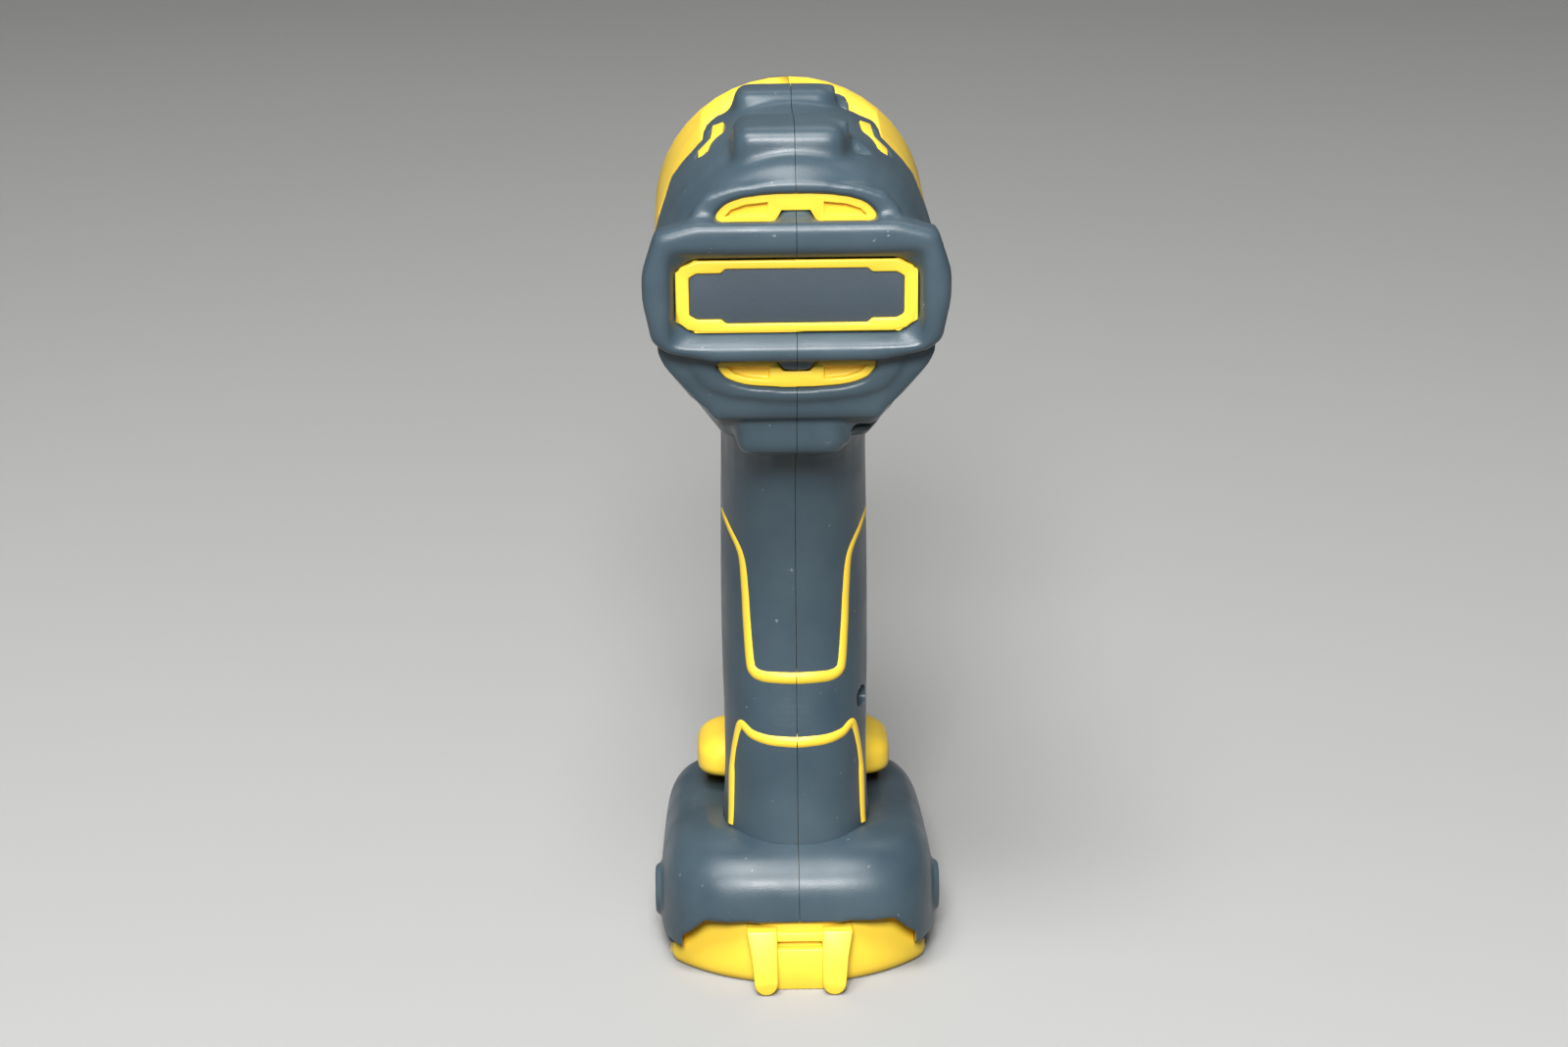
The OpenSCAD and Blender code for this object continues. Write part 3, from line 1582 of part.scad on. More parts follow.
module switch_body() {
  y1 = switch_y + switch_l;
  color("dimgray")
    difference() {
      union() {
        block(-switch_w / 2, switch_w / 2, switch_y, y1, trigger_z - switch_h / 2,
          trigger_z + switch_h / 2);
        block(-switch_w / 3, switch_w / 3, switch_y + wall, y1 - 2 * wall,
          trigger_z + switch_h / 2 - over,
          bar_z - bar_h / 2 - 2 * seat_gap);
      }
      translate([0, y1 + over, trigger_z])
        rotate([90, 0, 0]) cylinder(r = stem_r + move_gap, h = switch_l - switch_back,
          $fn = round_facets);
    }
}

module trigger_spring() {
  color("silver")
    coil(0, trigger_z, switch_y + switch_l + seat_gap, trigger_y - seat_gap, stem_r + spring_room,
      spring_wire_r,
      spring_turns, spring_steps);
}

module direction_bar() {
  r = bar_h * bar_round_share;
  color("dimgray")
    side_view(-bar_l / 2, bar_l / 2)
      translate([bar_y, bar_z]) {
        square([bar_d, bar_h - 2 * r], center = true);
        square([bar_d - 2 * r, bar_h], center = true);
        for (a = [-1, 1], b = [-1, 1])
          translate([a * (bar_d / 2 - r), b * (bar_h / 2 - r)]) circle(r = r, $fn = round_facets);
      }
}

module lamp_lens() {
  color("white")
    block(-lens_w / 2, lens_w / 2, lens_back + seat_gap, lamp_y, lamp_z - lens_h / 2,
      lamp_z + lens_h / 2);
}

module lamp_board() {
  color("darkgreen")
    block(-lens_w / 2, lens_w / 2, lens_back - board_t - seat_gap, lens_back - seat_gap,
      lamp_z - lens_h / 2,
      lamp_z + lens_h / 2);
}

module control_module() {
  w = module_w / 2;
  top = module_z + module_h;
  color("dimgray")
    difference() {
      block(-w, w, module_y, module_y + module_d, module_z, top);
      block(-w + over, w - over, module_y + over, module_y + module_d - over, top - over, top + over);
    }
}

// Foot

module terminal_block() {
  w = blade_t / 2 + seat_gap;
  color("dimgray")
    difference() {
      block(-block_w / 2, block_w / 2, block_y, block_y + block_l, block_z - block_drop,
        block_z + block_h);
      for (i = [-2:2])
        translate([i * blade_step, 0, 0])
          block(-w, w, block_y - over, block_y + blade_l / 2, block_z - 3 * over, block_z + blade_h);
    }
}

module terminal_blades() {
  w = blade_t / 2;
  color("goldenrod")
    for (i = [-2:2])
      translate([i * blade_step, 0, 0])
        block(-w, w, block_y - blade_l / 2, block_y + blade_l / 2 - seat_gap, block_z - over,
          block_z + blade_h - seat_gap);
}

module hook_inserts() {
  color("goldenrod")
    for (s = [-1, 1])
      translate([s * (hook_x - hook_len), hook_y, hook_z])
        rotate([0, s * 90, 0])
          difference() {
            cylinder(r = hook_body_r, h = hook_len, $fn = round_facets);
            translate([0, 0, over]) cylinder(r = hook_r, h = hook_len, $fn = round_facets);
          }
}

module motor_leads() {
  y0 = module_y + lead_start;
  z0 = module_z + module_h + seat_gap;
  y1 = switch_y - lead_back;
  y2 = board_y + board_t / 2;
  z1 = head_z - stator_r - lead_drop;
  color("dimgray")
    for (i = [-1:1]) {
      x = i * lead_step;
      tube([[x, y0, z0], [x, y0 - lead_lean, z0 + lead_rise], [x, y1, trigger_z - switch_h / 2], [x,
        y1, trigger_z],
        [x, y1 + lead_lean / 2, trigger_z + switch_h / 2], [x, y1 + lead_bend / 2, z1 - lead_bend],
        [x, y1 + 1.5 * lead_bend, z1 - lead_lean], [x, y2 - lead_bend, z1], [x, y2 - lead_lean,
          z1 + lead_r],
        [x, y2, z1 + lead_drop + lead_r]],
        lead_r, lead_sides, [1, 0, 0]);
    }
}

// Terminal cover

module cover_plan() {
  intersection() {
    translate([0, cover_rear_y + cover_edge_r]) circle(r = cover_edge_r, $fn = round_facets);
    translate([-cover_w / 2, cover_rear_y - over]) square([cover_w, cover_edge_r / 2 + over]);
  }
}

module terminal_cover() {
  g = move_gap;
  lx0 = latch_w * latch_in_share;
  lx1 = latch_w / 2;
  edge = cover_rear_y + cover_edge_r;
  half_edge = cover_rear_y + cover_edge_r / 2;
  rear = cover_rear_y + latch_depth;
  rail_y = foot_y + foot_l * cover_rail_share;
  rail_z = foot_lift + rail_t + g;
  rail_top = rail_z + wall - g;
  leg_top = arch_top - latch_leg_down;
  bar_top = arch_top - latch_bar_down;
  slot_z = arch_top - latch_slot_z;
  color("gold")
    difference() {
      union() {
        linear_extrude(cover_t) {
          cover_plan();
          polygon([[-cover_w / 2, half_edge], [cover_w / 2, half_edge], [rail_half, edge], [rail_half,
            cover_front_y],
            [-rail_half, cover_front_y], [-rail_half, edge]]);
        }
        block(-rail_half + g, rail_half - g, rail_y, cover_front_y, cover_t - over, rail_top);
        block(-slot_half + g, slot_half - g, rail_y, cover_front_y, rail_z, rail_top);
        intersection() {
          linear_extrude(reach) offset_plan(cover_plug_in);
          rear_view(cover_rear_y - over, foot_y + foot_l * arch_l_share - g)
            polygon([[-slot_half + g, 0], [slot_half - g, 0], [slot_half - g, arch_side - g],
              [slot_half * arch_share - g, arch_top - g], [-slot_half * arch_share + g, arch_top - g],
              [-slot_half + g, arch_side - g]]);
        }
        block(-rail_half + g, rail_half - g, foot_y + foot_l * cover_neck_share,
          foot_y + foot_l * cover_neck_end_share,
          cover_t - over, rail_top);
        for (s = [0, 1])
          mirror([s, 0, 0])
            side_view(lx0, lx1)
              polygon([[rear, 0], [rear, leg_top], [cover_rear_y, leg_top],
                [cover_rear_y - latch_leg_out, latch_leg_toe],
                [cover_rear_y - latch_leg_out, 0]]);
        side_view(-lx0 - over, lx0 + over)
          polygon([[rear, 0], [rear, bar_top], [cover_rear_y + latch_bar_in, bar_top],
            [cover_rear_y - latch_bar_out, cover_t + latch_bar_toe], [cover_rear_y - latch_bar_out, 0]]);
      }
      block(-lx0 - over / 2, lx0 + over / 2, cover_rear_y - latch_slot_out,
        cover_rear_y + latch_slot_in, slot_z,
        slot_z + latch_slot_h);
    }
}

module offset_plan(d) {
  translate([0, cover_rear_y + d + cover_edge_r]) circle(r = cover_edge_r, $fn = round_facets);
}

left_housing();
right_housing();
left_head_boot();
right_head_boot();
left_grip();
right_grip();
left_heel_pad();
right_heel_pad();
left_foot_boot();
right_foot_boot();
badge_plate();
housing_screws();
nose_boot();
hammer_case();
anvil();
anvil_bush();
chuck_collar();
collar_spring();
collar_washer();
snap_ring();
lock_balls();
hammer();
hammer_spring();
spring_washer();
cam_balls();
cam_shaft();
planet_pins();
planet_gear_1();
planet_gear_2();
planet_gear_3();
ring_gear();
carrier_bearing();
motor_plate();
front_bearing();
rear_bearing();
rotor_shaft();
rotor_core();
fan();
stator_core();
stator_coils();
sensor_board();
trigger();
trigger_spring();
switch_body();
direction_bar();
lamp_lens();
lamp_board();
control_module();
terminal_block();
terminal_blades();
hook_inserts();
motor_leads();
terminal_cover();
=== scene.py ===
import math

import bmesh
import bpy
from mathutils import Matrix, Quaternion, Vector


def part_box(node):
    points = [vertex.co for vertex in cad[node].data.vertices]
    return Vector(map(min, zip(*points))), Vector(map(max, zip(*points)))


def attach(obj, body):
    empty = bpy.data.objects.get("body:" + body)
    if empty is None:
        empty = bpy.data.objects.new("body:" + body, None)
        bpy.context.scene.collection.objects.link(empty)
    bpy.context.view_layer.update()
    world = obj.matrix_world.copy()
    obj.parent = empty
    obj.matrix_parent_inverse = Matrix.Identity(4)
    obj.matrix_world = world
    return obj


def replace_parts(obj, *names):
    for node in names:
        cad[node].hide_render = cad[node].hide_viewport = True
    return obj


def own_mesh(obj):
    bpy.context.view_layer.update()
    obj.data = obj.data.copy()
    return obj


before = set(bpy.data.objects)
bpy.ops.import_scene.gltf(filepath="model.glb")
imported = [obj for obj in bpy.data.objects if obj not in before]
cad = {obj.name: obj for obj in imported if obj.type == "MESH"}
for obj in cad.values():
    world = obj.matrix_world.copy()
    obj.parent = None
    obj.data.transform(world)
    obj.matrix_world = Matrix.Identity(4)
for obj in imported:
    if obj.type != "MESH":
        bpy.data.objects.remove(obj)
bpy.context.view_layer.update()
mm = 0.001
weld = 2e-6
snap = 1e-7
seam = 0.14 * mm
axisHeight = 169.4
sides = (("left", -1), ("right", 1))
print("frame loaded with", len(cad), "nodes")


# finishes

def startFinish(name, color, rough, metal=0.0):
    mat = bpy.data.materials.new(name)
    mat.use_nodes = True
    tree = mat.node_tree
    shader = tree.nodes["Principled BSDF"]
    shader.inputs["Base Color"].default_value = (*color, 1)
    shader.inputs["Roughness"].default_value = rough
    shader.inputs["Metallic"].default_value = metal
    return mat, tree, shader


def objectNoise(tree, scale, detail, stretch=(1, 1, 1)):
    coord = tree.nodes.new("ShaderNodeTexCoord")
    mapping = tree.nodes.new("ShaderNodeMapping")
    noise = tree.nodes.new("ShaderNodeTexNoise")
    mapping.inputs["Scale"].default_value = stretch
    noise.inputs["Scale"].default_value = scale
    noise.inputs["Detail"].default_value = detail
    tree.links.new(coord.outputs["Object"], mapping.inputs["Vector"])
    tree.links.new(mapping.outputs["Vector"], noise.inputs["Vector"])
    return noise.outputs["Fac"]


def ramp(tree, source, low, high, span=(0.3, 0.7)):
    node = tree.nodes.new("ShaderNodeValToRGB")
    tree.links.new(source, node.inputs["Fac"])
    for element, place, color in zip(node.color_ramp.elements, span, (low, high)):
        element.position = place
        element.color = (*color, 1)
    return node.outputs["Color"]


def addBumps(tree, shader, layers):
    last = None
    for source, strength, depth in layers:
        bump = tree.nodes.new("ShaderNodeBump")
        bump.inputs["Strength"].default_value = strength
        bump.inputs["Distance"].default_value = depth
        tree.links.new(source, bump.inputs["Height"])
        if last:
            tree.links.new(last, bump.inputs["Normal"])
        last = bump.outputs["Normal"]
    tree.links.new(last, shader.inputs["Normal"])


def addWear(tree, shader, rough, look):
    # roughness that wanders a little about its middle
    less, more = look["wearRange"]
    tones = ramp(tree, objectNoise(tree, *look["wear"]), (rough - less,) * 3, (rough + more,) * 3)
    tree.links.new(tones, shader.inputs["Roughness"])


def mixTones(tree, factor, low, high):
    # the colour sockets of a mix node come after those for its other kinds of value
    lowSocket, highSocket, colorOut = 6, 7, 2
    mix = tree.nodes.new("ShaderNodeMix")
    mix.data_type = "RGBA"
    tree.links.new(factor, mix.inputs["Factor"])
    for index, value in ((lowSocket, low), (highSocket, high)):
        if isinstance(value, tuple):
            mix.inputs[index].default_value = (*value, 1)
        else:
            tree.links.new(value, mix.inputs[index])
    return mix.outputs[colorOut]


rubberLook = {
    "tones": ((0.031, 0.053, 0.07), (0.05, 0.078, 0.097)), "clouds": (46, 4), "cloudSpan": (0.32, 0.72),
    "lint": (640, 2), "lintSpan": (0.735, 0.775), "lintColor": (0.17, 0.19, 0.195),
    "wear": (75, 5), "wearRange": (0.07, 0.08), "specular": 0.4, "grain": (2600, 2), "grainDepth": 0.00009,
    "waves": (240, 3), "waveStrength": 0.12, "waveDepth": 0.00022,
}
plasticLook = {
    "clouds": (38, 4), "deep": 0.9, "bright": 1.03, "wear": (120, 4), "wearRange": (0.06, 0.07),
    "grain": (3200, 2), "grainDepth": 0.00006,
}
metalLook = {
    "marks": (1.0, 4), "deep": 0.82, "wear": (160, 4), "wearRange": (0.07, 0.1), "markStrength": 0.14,
    "markDepth": 0.00005,
}
glassLook = {
    "color": (0.92, 0.95, 0.97), "rough": 0.08, "clear": 0.85, "ior": 1.49, "waves": (420, 1),
    "waveStrength": 0.2, "waveDepth": 0.0002,
}


def mouldedRubber(name, rough, grain):
    look = rubberLook
    dark, light = look["tones"]
    mat, tree, shader = startFinish(name, dark, rough)
    cloudy = ramp(tree, objectNoise(tree, *look["clouds"]), dark, light, look["cloudSpan"])
    lint = ramp(tree, objectNoise(tree, *look["lint"]), (0, 0, 0), (1, 1, 1), look["lintSpan"])
    tree.links.new(mixTones(tree, lint, cloudy, look["lintColor"]), shader.inputs["Base Color"])
    addWear(tree, shader, rough, look)
    shader.inputs["Specular IOR Level"].default_value = look["specular"]
    addBumps(tree, shader, [(objectNoise(tree, *look["grain"]), grain, look["grainDepth"]),
                            (objectNoise(tree, *look["waves"]), look["waveStrength"], look["waveDepth"])])
    return mat


def mouldedPlastic(name, color, rough, grain=0.12):
    look = plasticLook
    mat, tree, shader = startFinish(name, color, rough)
    deep = tuple(c * look["deep"] for c in color)
    bright = tuple(min(1, c * look["bright"]) for c in color)
    cloudy = ramp(tree, objectNoise(tree, *look["clouds"]), deep, bright)
    tree.links.new(cloudy, shader.inputs["Base Color"])
    addWear(tree, shader, rough, look)
    addBumps(tree, shader, [(objectNoise(tree, *look["grain"]), grain, look["grainDepth"])])
    return mat


def turnedMetal(name, color, rough, stretch=(30, 900, 30)):
    look = metalLook
    mat, tree, shader = startFinish(name, color, rough, 1.0)
    marks = objectNoise(tree, *look["marks"], stretch)
    streaks = ramp(tree, marks, tuple(c * look["deep"] for c in color), color)
    tree.links.new(streaks, shader.inputs["Base Color"])
    addWear(tree, shader, rough, look)
    addBumps(tree, shader, [(marks, look["markStrength"], look["markDepth"])])
    return mat


def lampGlass(name):
    look = glassLook
    mat, tree, shader = startFinish(name, look["color"], look["rough"])
    shader.inputs["Transmission Weight"].default_value = look["clear"]
    shader.inputs["IOR"].default_value = look["ior"]
    addBumps(tree, shader, [(objectNoise(tree, *look["waves"]), look["waveStrength"], look["waveDepth"])])
    return mat


finishes = {
    "rubber": mouldedRubber("bootRubber", 0.37, 0.34),
    "gripRubber": mouldedRubber("gripRubber", 0.42, 0.4),
    "yellow": mouldedPlastic("yellowShell", (0.9, 0.61, 0.045), 0.42),
    "badge": mouldedPlastic("badgeFace", (0.036, 0.053, 0.07), 0.6, 0.9),
    "black": mouldedPlastic("blackPlastic", (0.018, 0.021, 0.024), 0.45, 0.25),
    "board": mouldedPlastic("boardMask", (0.02, 0.12, 0.05), 0.4),
    "steel": turnedMetal("groundSteel", (0.52, 0.53, 0.54), 0.3),
    "darkSteel": turnedMetal("blackedSteel", (0.13, 0.13, 0.135), 0.38),
    "cast": turnedMetal("castCase", (0.42, 0.43, 0.44), 0.45, (120, 120, 120)),
    "bronze": turnedMetal("bushBronze", (0.5, 0.32, 0.13), 0.4),
    "copper": turnedMetal("coilCopper", (0.62, 0.26, 0.1), 0.35, (60, 2200, 60)),
    "brass": turnedMetal("contactBrass", (0.7, 0.5, 0.18), 0.3),
    "lens": lampGlass("lampLens"),
}
dressing = {
    "yellow": "left_housing right_housing terminal_cover",
    "rubber": "left_head_boot right_head_boot left_foot_boot right_foot_boot nose_boot",
    "gripRubber": "left_grip right_grip left_heel_pad right_heel_pad motor_leads",
    "badge": "badge_plate",
    "steel": "collar_spring collar_washer lock_balls hammer_spring spring_washer cam_balls planet_pins "
             "planet_gear_1 planet_gear_2 planet_gear_3 carrier_bearing front_bearing rear_bearing "
             "rotor_shaft trigger_spring stator_core chuck_collar housing_screws",
    "darkSteel": "anvil snap_ring hammer cam_shaft ring_gear rotor_core",
    "cast": "hammer_case motor_plate",
    "bronze": "anvil_bush",
    "copper": "stator_coils",
    "black": "fan trigger switch_body direction_bar control_module terminal_block",
    "board": "sensor_board lamp_board",
    "lens": "lamp_lens",
    "brass": "terminal_blades hook_inserts",
}
finishOf = {}
for finish, names in dressing.items():
    for name in names.split():
        finishOf[name] = finish
        cad[name].data.materials.clear()
        cad[name].data.materials.append(finishes[finish])
print("finishes made:", len(finishes))


# shared making steps

def linkPiece(name, data):
    piece = bpy.data.objects.new(name, data)
    bpy.context.scene.collection.objects.link(piece)
    return piece


def meshPiece(name, bm):
    mesh = bpy.data.meshes.new(name)
    bm.to_mesh(mesh)
    bm.free()
    return linkPiece(name, mesh)


def dropPiece(piece):
    data = piece.data
    bpy.data.objects.remove(piece)
    if isinstance(data, bpy.types.Mesh):
        bpy.data.meshes.remove(data)
    else:
        bpy.data.curves.remove(data)


def smoothFaces(mesh):
    for polygon in mesh.polygons:
        polygon.use_smooth = True


def newPiece(name, bm, finish, body, crease=35):
    piece = meshPiece(name, bm)
    piece.data.materials.append(finishes[finish])
    smoothFaces(piece.data)
    piece.data.set_sharp_from_angle(angle=math.radians(crease))
    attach(piece, body)
    return piece


def yellowPiece(name, bm, body="shell", crease=40):
    return newPiece(name, bm, "yellow", body, crease)


def copyNode(name):
    bm = bmesh.new()
    bm.from_mesh(cad[name].data)
    bmesh.ops.remove_doubles(bm, verts=bm.verts, dist=weld)
    return bm


def takeMesh(piece):
    # the piece with its modifiers, as a mesh to work on
    graph = bpy.context.evaluated_depsgraph_get()
    mesh = bpy.data.meshes.new_from_object(piece.evaluated_get(graph))
    bm = bmesh.new()
    bm.from_mesh(mesh)
    bpy.data.meshes.remove(mesh)
    dropPiece(piece)
    return bm


def carve(bm, tools, operation="DIFFERENCE"):
    piece = meshPiece("shaping", bm)
    cutters = [meshPiece("shaping", tool) for tool in tools]
    for cutter in cutters:
        cut = piece.modifiers.new("carve", "BOOLEAN")
        cut.operation = operation
        cut.solver = "EXACT"
        cut.object = cutter
    result = takeMesh(piece)
    for cutter in cutters:
        dropPiece(cutter)
    return result


def addInto(bm, part):
    mesh = bpy.data.meshes.new("joining")
    part.to_mesh(mesh)
    part.free()
    bm.from_mesh(mesh)
    bpy.data.meshes.remove(mesh)


def faceOut(bm):
    bmesh.ops.recalc_face_normals(bm, faces=bm.faces)
    return bm


def closeHoles(bm):
    bmesh.ops.holes_fill(bm, edges=[e for e in bm.edges if e.is_boundary], sides=0)
    return bm


def cutPlane(bm, place, normal, near=snap, **clear):
    bmesh.ops.bisect_plane(bm, geom=bm.verts[:] + bm.edges[:] + bm.faces[:], dist=near, plane_co=place,
                           plane_no=normal, **clear)


def bevelEdges(bm, edges, width, segments, clamp=False):
    bmesh.ops.bevel(bm, geom=edges, offset=width, offset_type="OFFSET", affect="EDGES", segments=segments,
                    profile=0.5, material=-1, clamp_overlap=clamp)


def softEdges(bm, width, angle=30, segments=3, flat=1.5):
    bmesh.ops.remove_doubles(bm, verts=bm.verts, dist=weld)
    bmesh.ops.dissolve_limit(bm, angle_limit=math.radians(flat), use_dissolve_boundaries=False,
                             verts=bm.verts, edges=bm.edges)
    sharp = [e for e in bm.edges if len(e.link_faces) == 2 and e.calc_face_angle(0) > math.radians(angle)]
    bevelEdges(bm, sharp, width, segments, True)
    return bm


def growFace(bm, face, shift):
    grown = bmesh.ops.extrude_face_region(bm, geom=[face])
    verts = [item for item in grown["geom"] if isinstance(item, bmesh.types.BMVert)]
    bmesh.ops.translate(bm, verts=verts, vec=shift)
    return faceOut(bm)


def prism(points, y0, y1):
    # flat outline seen from behind, given a depth
    bm = bmesh.new()
    face = bm.faces.new([bm.verts.new((x * mm, y0 * mm, z * mm)) for x, z in points])
    return growFace(bm, face, (0, (y1 - y0) * mm, 0))


def slab(points, x0, x1):
    # flat outline seen from the side, given a width
    bm = prism(points, -x1, -x0)
    for vert in bm.verts:
        vert.co = Vector((-vert.co.y, vert.co.x, vert.co.z))
    return faceOut(bm)


def roundedBlock(low, high, radius, segments=5):
    bm = bmesh.new()
    bmesh.ops.create_cube(bm, size=1)
    for vert in bm.verts:
        vert.co = Vector([((low[k] + high[k]) / 2 + vert.co[k] * (high[k] - low[k])) * mm for k in range(3)])
    if radius:
        bevelEdges(bm, bm.edges[:], radius * mm, segments)
    return bm


def roundBar(x0, x1, y, z, radius, edge, around=48, segments=4, sharp=1):
    # round bar laid across the tool
    bm = bmesh.new()
    bmesh.ops.create_cone(bm, cap_ends=True, segments=around, radius1=radius * mm, radius2=radius * mm,
                          depth=(x1 - x0) * mm)
    for vert in bm.verts:
        vert.co = Vector((vert.co.z + (x0 + x1) / 2 * mm, vert.co.x + y * mm, vert.co.y + z * mm))
    bm.normal_update()
    if edge:
        rim = [e for e in bm.edges if e.calc_face_angle(0) > sharp]
        bevelEdges(bm, rim, edge * mm, segments)
    return faceOut(bm)


def mirrored(line):
    return line + [(-x, other) for x, other in reversed(line)]


def throughKnots(v, t):
    # smooth value at place t along the listed ones
    i = math.floor(t)
    f = t - i
    a, b, c, d = (v[max(0, min(len(v) - 1, i + k))] for k in (-1, 0, 1, 2))
    return (b + f * (c - a) / 2 + f * f * (2 * a - 5 * b + 4 * c - d) / 2
            + f ** 3 * (3 * b - a - 3 * c + d) / 2)


def sectionRing(bm, points, power, place):
    # one closed section between a circle and a box, set out by the function place
    made = bmesh.ops.create_circle(bm, segments=points, radius=1)["verts"]
    bend = 2 / power
    for vert in made:
        c = math.copysign(abs(vert.co.x) ** bend, vert.co.x)
        s = math.copysign(abs(vert.co.y) ** bend, vert.co.y)
        vert.co = Vector(place(c, s)) * mm
    return list(dict.fromkeys(e for v in made for e in v.link_edges))


def bridgeRings(bm, rings):
    for low, high in zip(rings, rings[1:]):
        bmesh.ops.bridge_loops(bm, edges=low + high)
    return faceOut(closeHoles(bm))


def loft(form, grow=0.0):
    # rounded sections stacked through the listed heights
    bm = bmesh.new()
    rings = []
    for i in range((len(form["z"]) - 1) * form["steps"] + 1):
        half, y0, y1, z, tilt = (throughKnots(form[word], i / form["steps"])
                                 for word in ("half", "rear", "front", "z", "tilt"))
        half, y0, y1 = half + grow, y0 - grow, y1 + grow
        rings.append(sectionRing(bm, form["points"], form["power"], lambda c, s: (
            half * c * (1 + (form["taper"] - 1) * (s + 1) / 2), (y0 + y1) / 2 + (y1 - y0) / 2 * s,
            z + grow - tilt * (s + 1) / 2)))
    return bridgeRings(bm, rings)


def soften(bm, voxel, relax):
    piece = meshPiece("shaping", bm)
    remesh = piece.modifiers.new("remesh", "REMESH")
    remesh.mode = "VOXEL"
    remesh.voxel_size = voxel * mm
    smooth = piece.modifiers.new("relax", "SMOOTH")
    smooth.factor = 0.5
    smooth.iterations = relax
    return takeMesh(piece)


def cutHalf(whole, side):
    bm = whole.copy()
    cutPlane(bm, (side * seam / 2, 0, 0), (side, 0, 0), clear_inner=True)
    return closeHoles(bm)


# yellow lines that follow the back of the handle

handle = {
    "height": axisHeight, "width": 31.8, "depth": 42, "power": 2.5, "halvings": 40, "edge": 0.985,
    "z": [0.885, 0.838, 0.803, 0.762, 0.708, 0.62, 0.5, 0.4, 0.318, 0.236, 0.177, 0.135],
    "back": [-1.07, -1.12, -1.14, -1.05, -0.91, -0.83, -0.82, -0.88, -0.95, -1, -1.035, -1.09],
    "front": [0.29, 0.26, 0.24, 0.225, 0.215, 0.19, 0.14, 0.085, 0.035, 0.0, 0.05, 0.2],
    "half": [0.8, 0.62, 0.56, 0.497, 0.49, 0.497, 0.503, 0.5, 0.49, 0.49, 0.515, 0.6],
    "listed": (24, 150), "perMm": 4, "points": 96,
}


def handleSize(z):
    # half width, back and front of the handle at a height
    low, high = 0.0, len(handle["z"]) - 1.0
    for _ in range(handle["halvings"]):
        t = (low + high) / 2
        if throughKnots(handle["z"], t) * handle["height"] > z:
            low = t
        else:
            high = t
    return (handle["width"] * throughKnots(handle["half"], t),
            handle["depth"] * throughKnots(handle["back"], t),
            handle["depth"] * throughKnots(handle["front"], t))


firstStep, lastStep = (z * handle["perMm"] for z in handle["listed"])
handleSteps = [handleSize(step / handle["perMm"]) for step in range(firstStep, lastStep)]


def outOfHandle(x, y, z, lift):
    # 1 on the handle's surface, more outside it; and the middle of the section
    half, back, front = handleSteps[round(z * handle["perMm"]) - firstStep]
    middle = (back + front) / 2
    p = handle["power"]
    reach = (front - back) / 2 + lift
    return (abs(x) / (half + lift)) ** p + (abs(y - middle) / reach) ** p, middle


def onHandle(x, z, lift):
    half, back, front = handleSize(z)
    half += lift
    x = min(x, handle["edge"] * half)
    reach = (front - back) / 2 + lift
    p = handle["power"]
    return Vector((x, (back + front) / 2 - reach * (1 - (x / half) ** p) ** (1 / p), z)) * mm


bead = {"steps": 8, "round": 4, "start": 0.07}


def layBead(item, side):
    curve = bpy.data.curves.new("bead", "CURVE")
    curve.dimensions = "3D"
    curve.bevel_depth = 1 * mm
    curve.bevel_resolution = bead["round"]
    curve.use_fill_caps = True
    spline = curve.splines.new("POLY")
    spline.points.add((len(item["x"]) - 1) * bead["steps"])
    for i, point in enumerate(spline.points):
        t = i / bead["steps"]
        place = onHandle(max(bead["start"], throughKnots(item["x"], t) * handle["width"]),
                         throughKnots(item["z"], t) * handle["height"], item["lift"])
        point.co = (side * place.x, place.y, place.z, 1)
        point.radius = throughKnots(item["wide"], t)
    bm = takeMesh(linkPiece("bead", curve))
    bmesh.ops.remove_doubles(bm, verts=bm.verts, dist=weld)
    return faceOut(bm)


def handleBack(low, high, rear, lift):
    # back of the handle between two heights, cut off flat at the front
    bm = bmesh.new()
    rings = []
    for i in range(round(high - low) + 1):
        half, back, front = handleSize(low + i)
        rings.append(sectionRing(bm, handle["points"], handle["power"], lambda c, s: (
            (half + lift) * c, (back + front) / 2 + ((front - back) / 2 + lift) * s, low + i)))
    bridgeRings(bm, rings)
    cutPlane(bm, (0, rear * mm, 0), (0, 1, 0), near=0, clear_outer=True)
    return faceOut(closeHoles(bm))


gripLines = [
    {"name": "backLine", "lift": -0.3,
     "x": [0, 0.142, 0.232, 0.286, 0.308, 0.326, 0.336, 0.359, 0.437, 0.472, 0.488],
     "z": [0.4126, 0.4131, 0.4136, 0.4181, 0.4315, 0.486, 0.5315, 0.5809, 0.6114, 0.62, 0.626],
     "wide": [2.05, 2.05, 2.05, 2.05, 2.0, 1.98, 1.95, 1.92, 1.88, 1.75, 1.5]},
    {"name": "heelLine", "lift": -0.3,
     "x": [0, 0.1, 0.205, 0.305, 0.373, 0.41, 0.43, 0.433, 0.44, 0.448],
     "z": [0.325, 0.326, 0.3272, 0.3313, 0.338, 0.3097, 0.2776, 0.2569, 0.2085, 0.186],
     "wide": [1.95, 1.95, 1.95, 1.95, 1.95, 1.95, 2.05, 2.25, 2.2, 2.1]},
]
for item in gripLines:
    for word, side in sides:
        yellowPiece(item["name"] + word.title(), layBead(item, side), crease=50)
print("handle lines laid")


# rubber

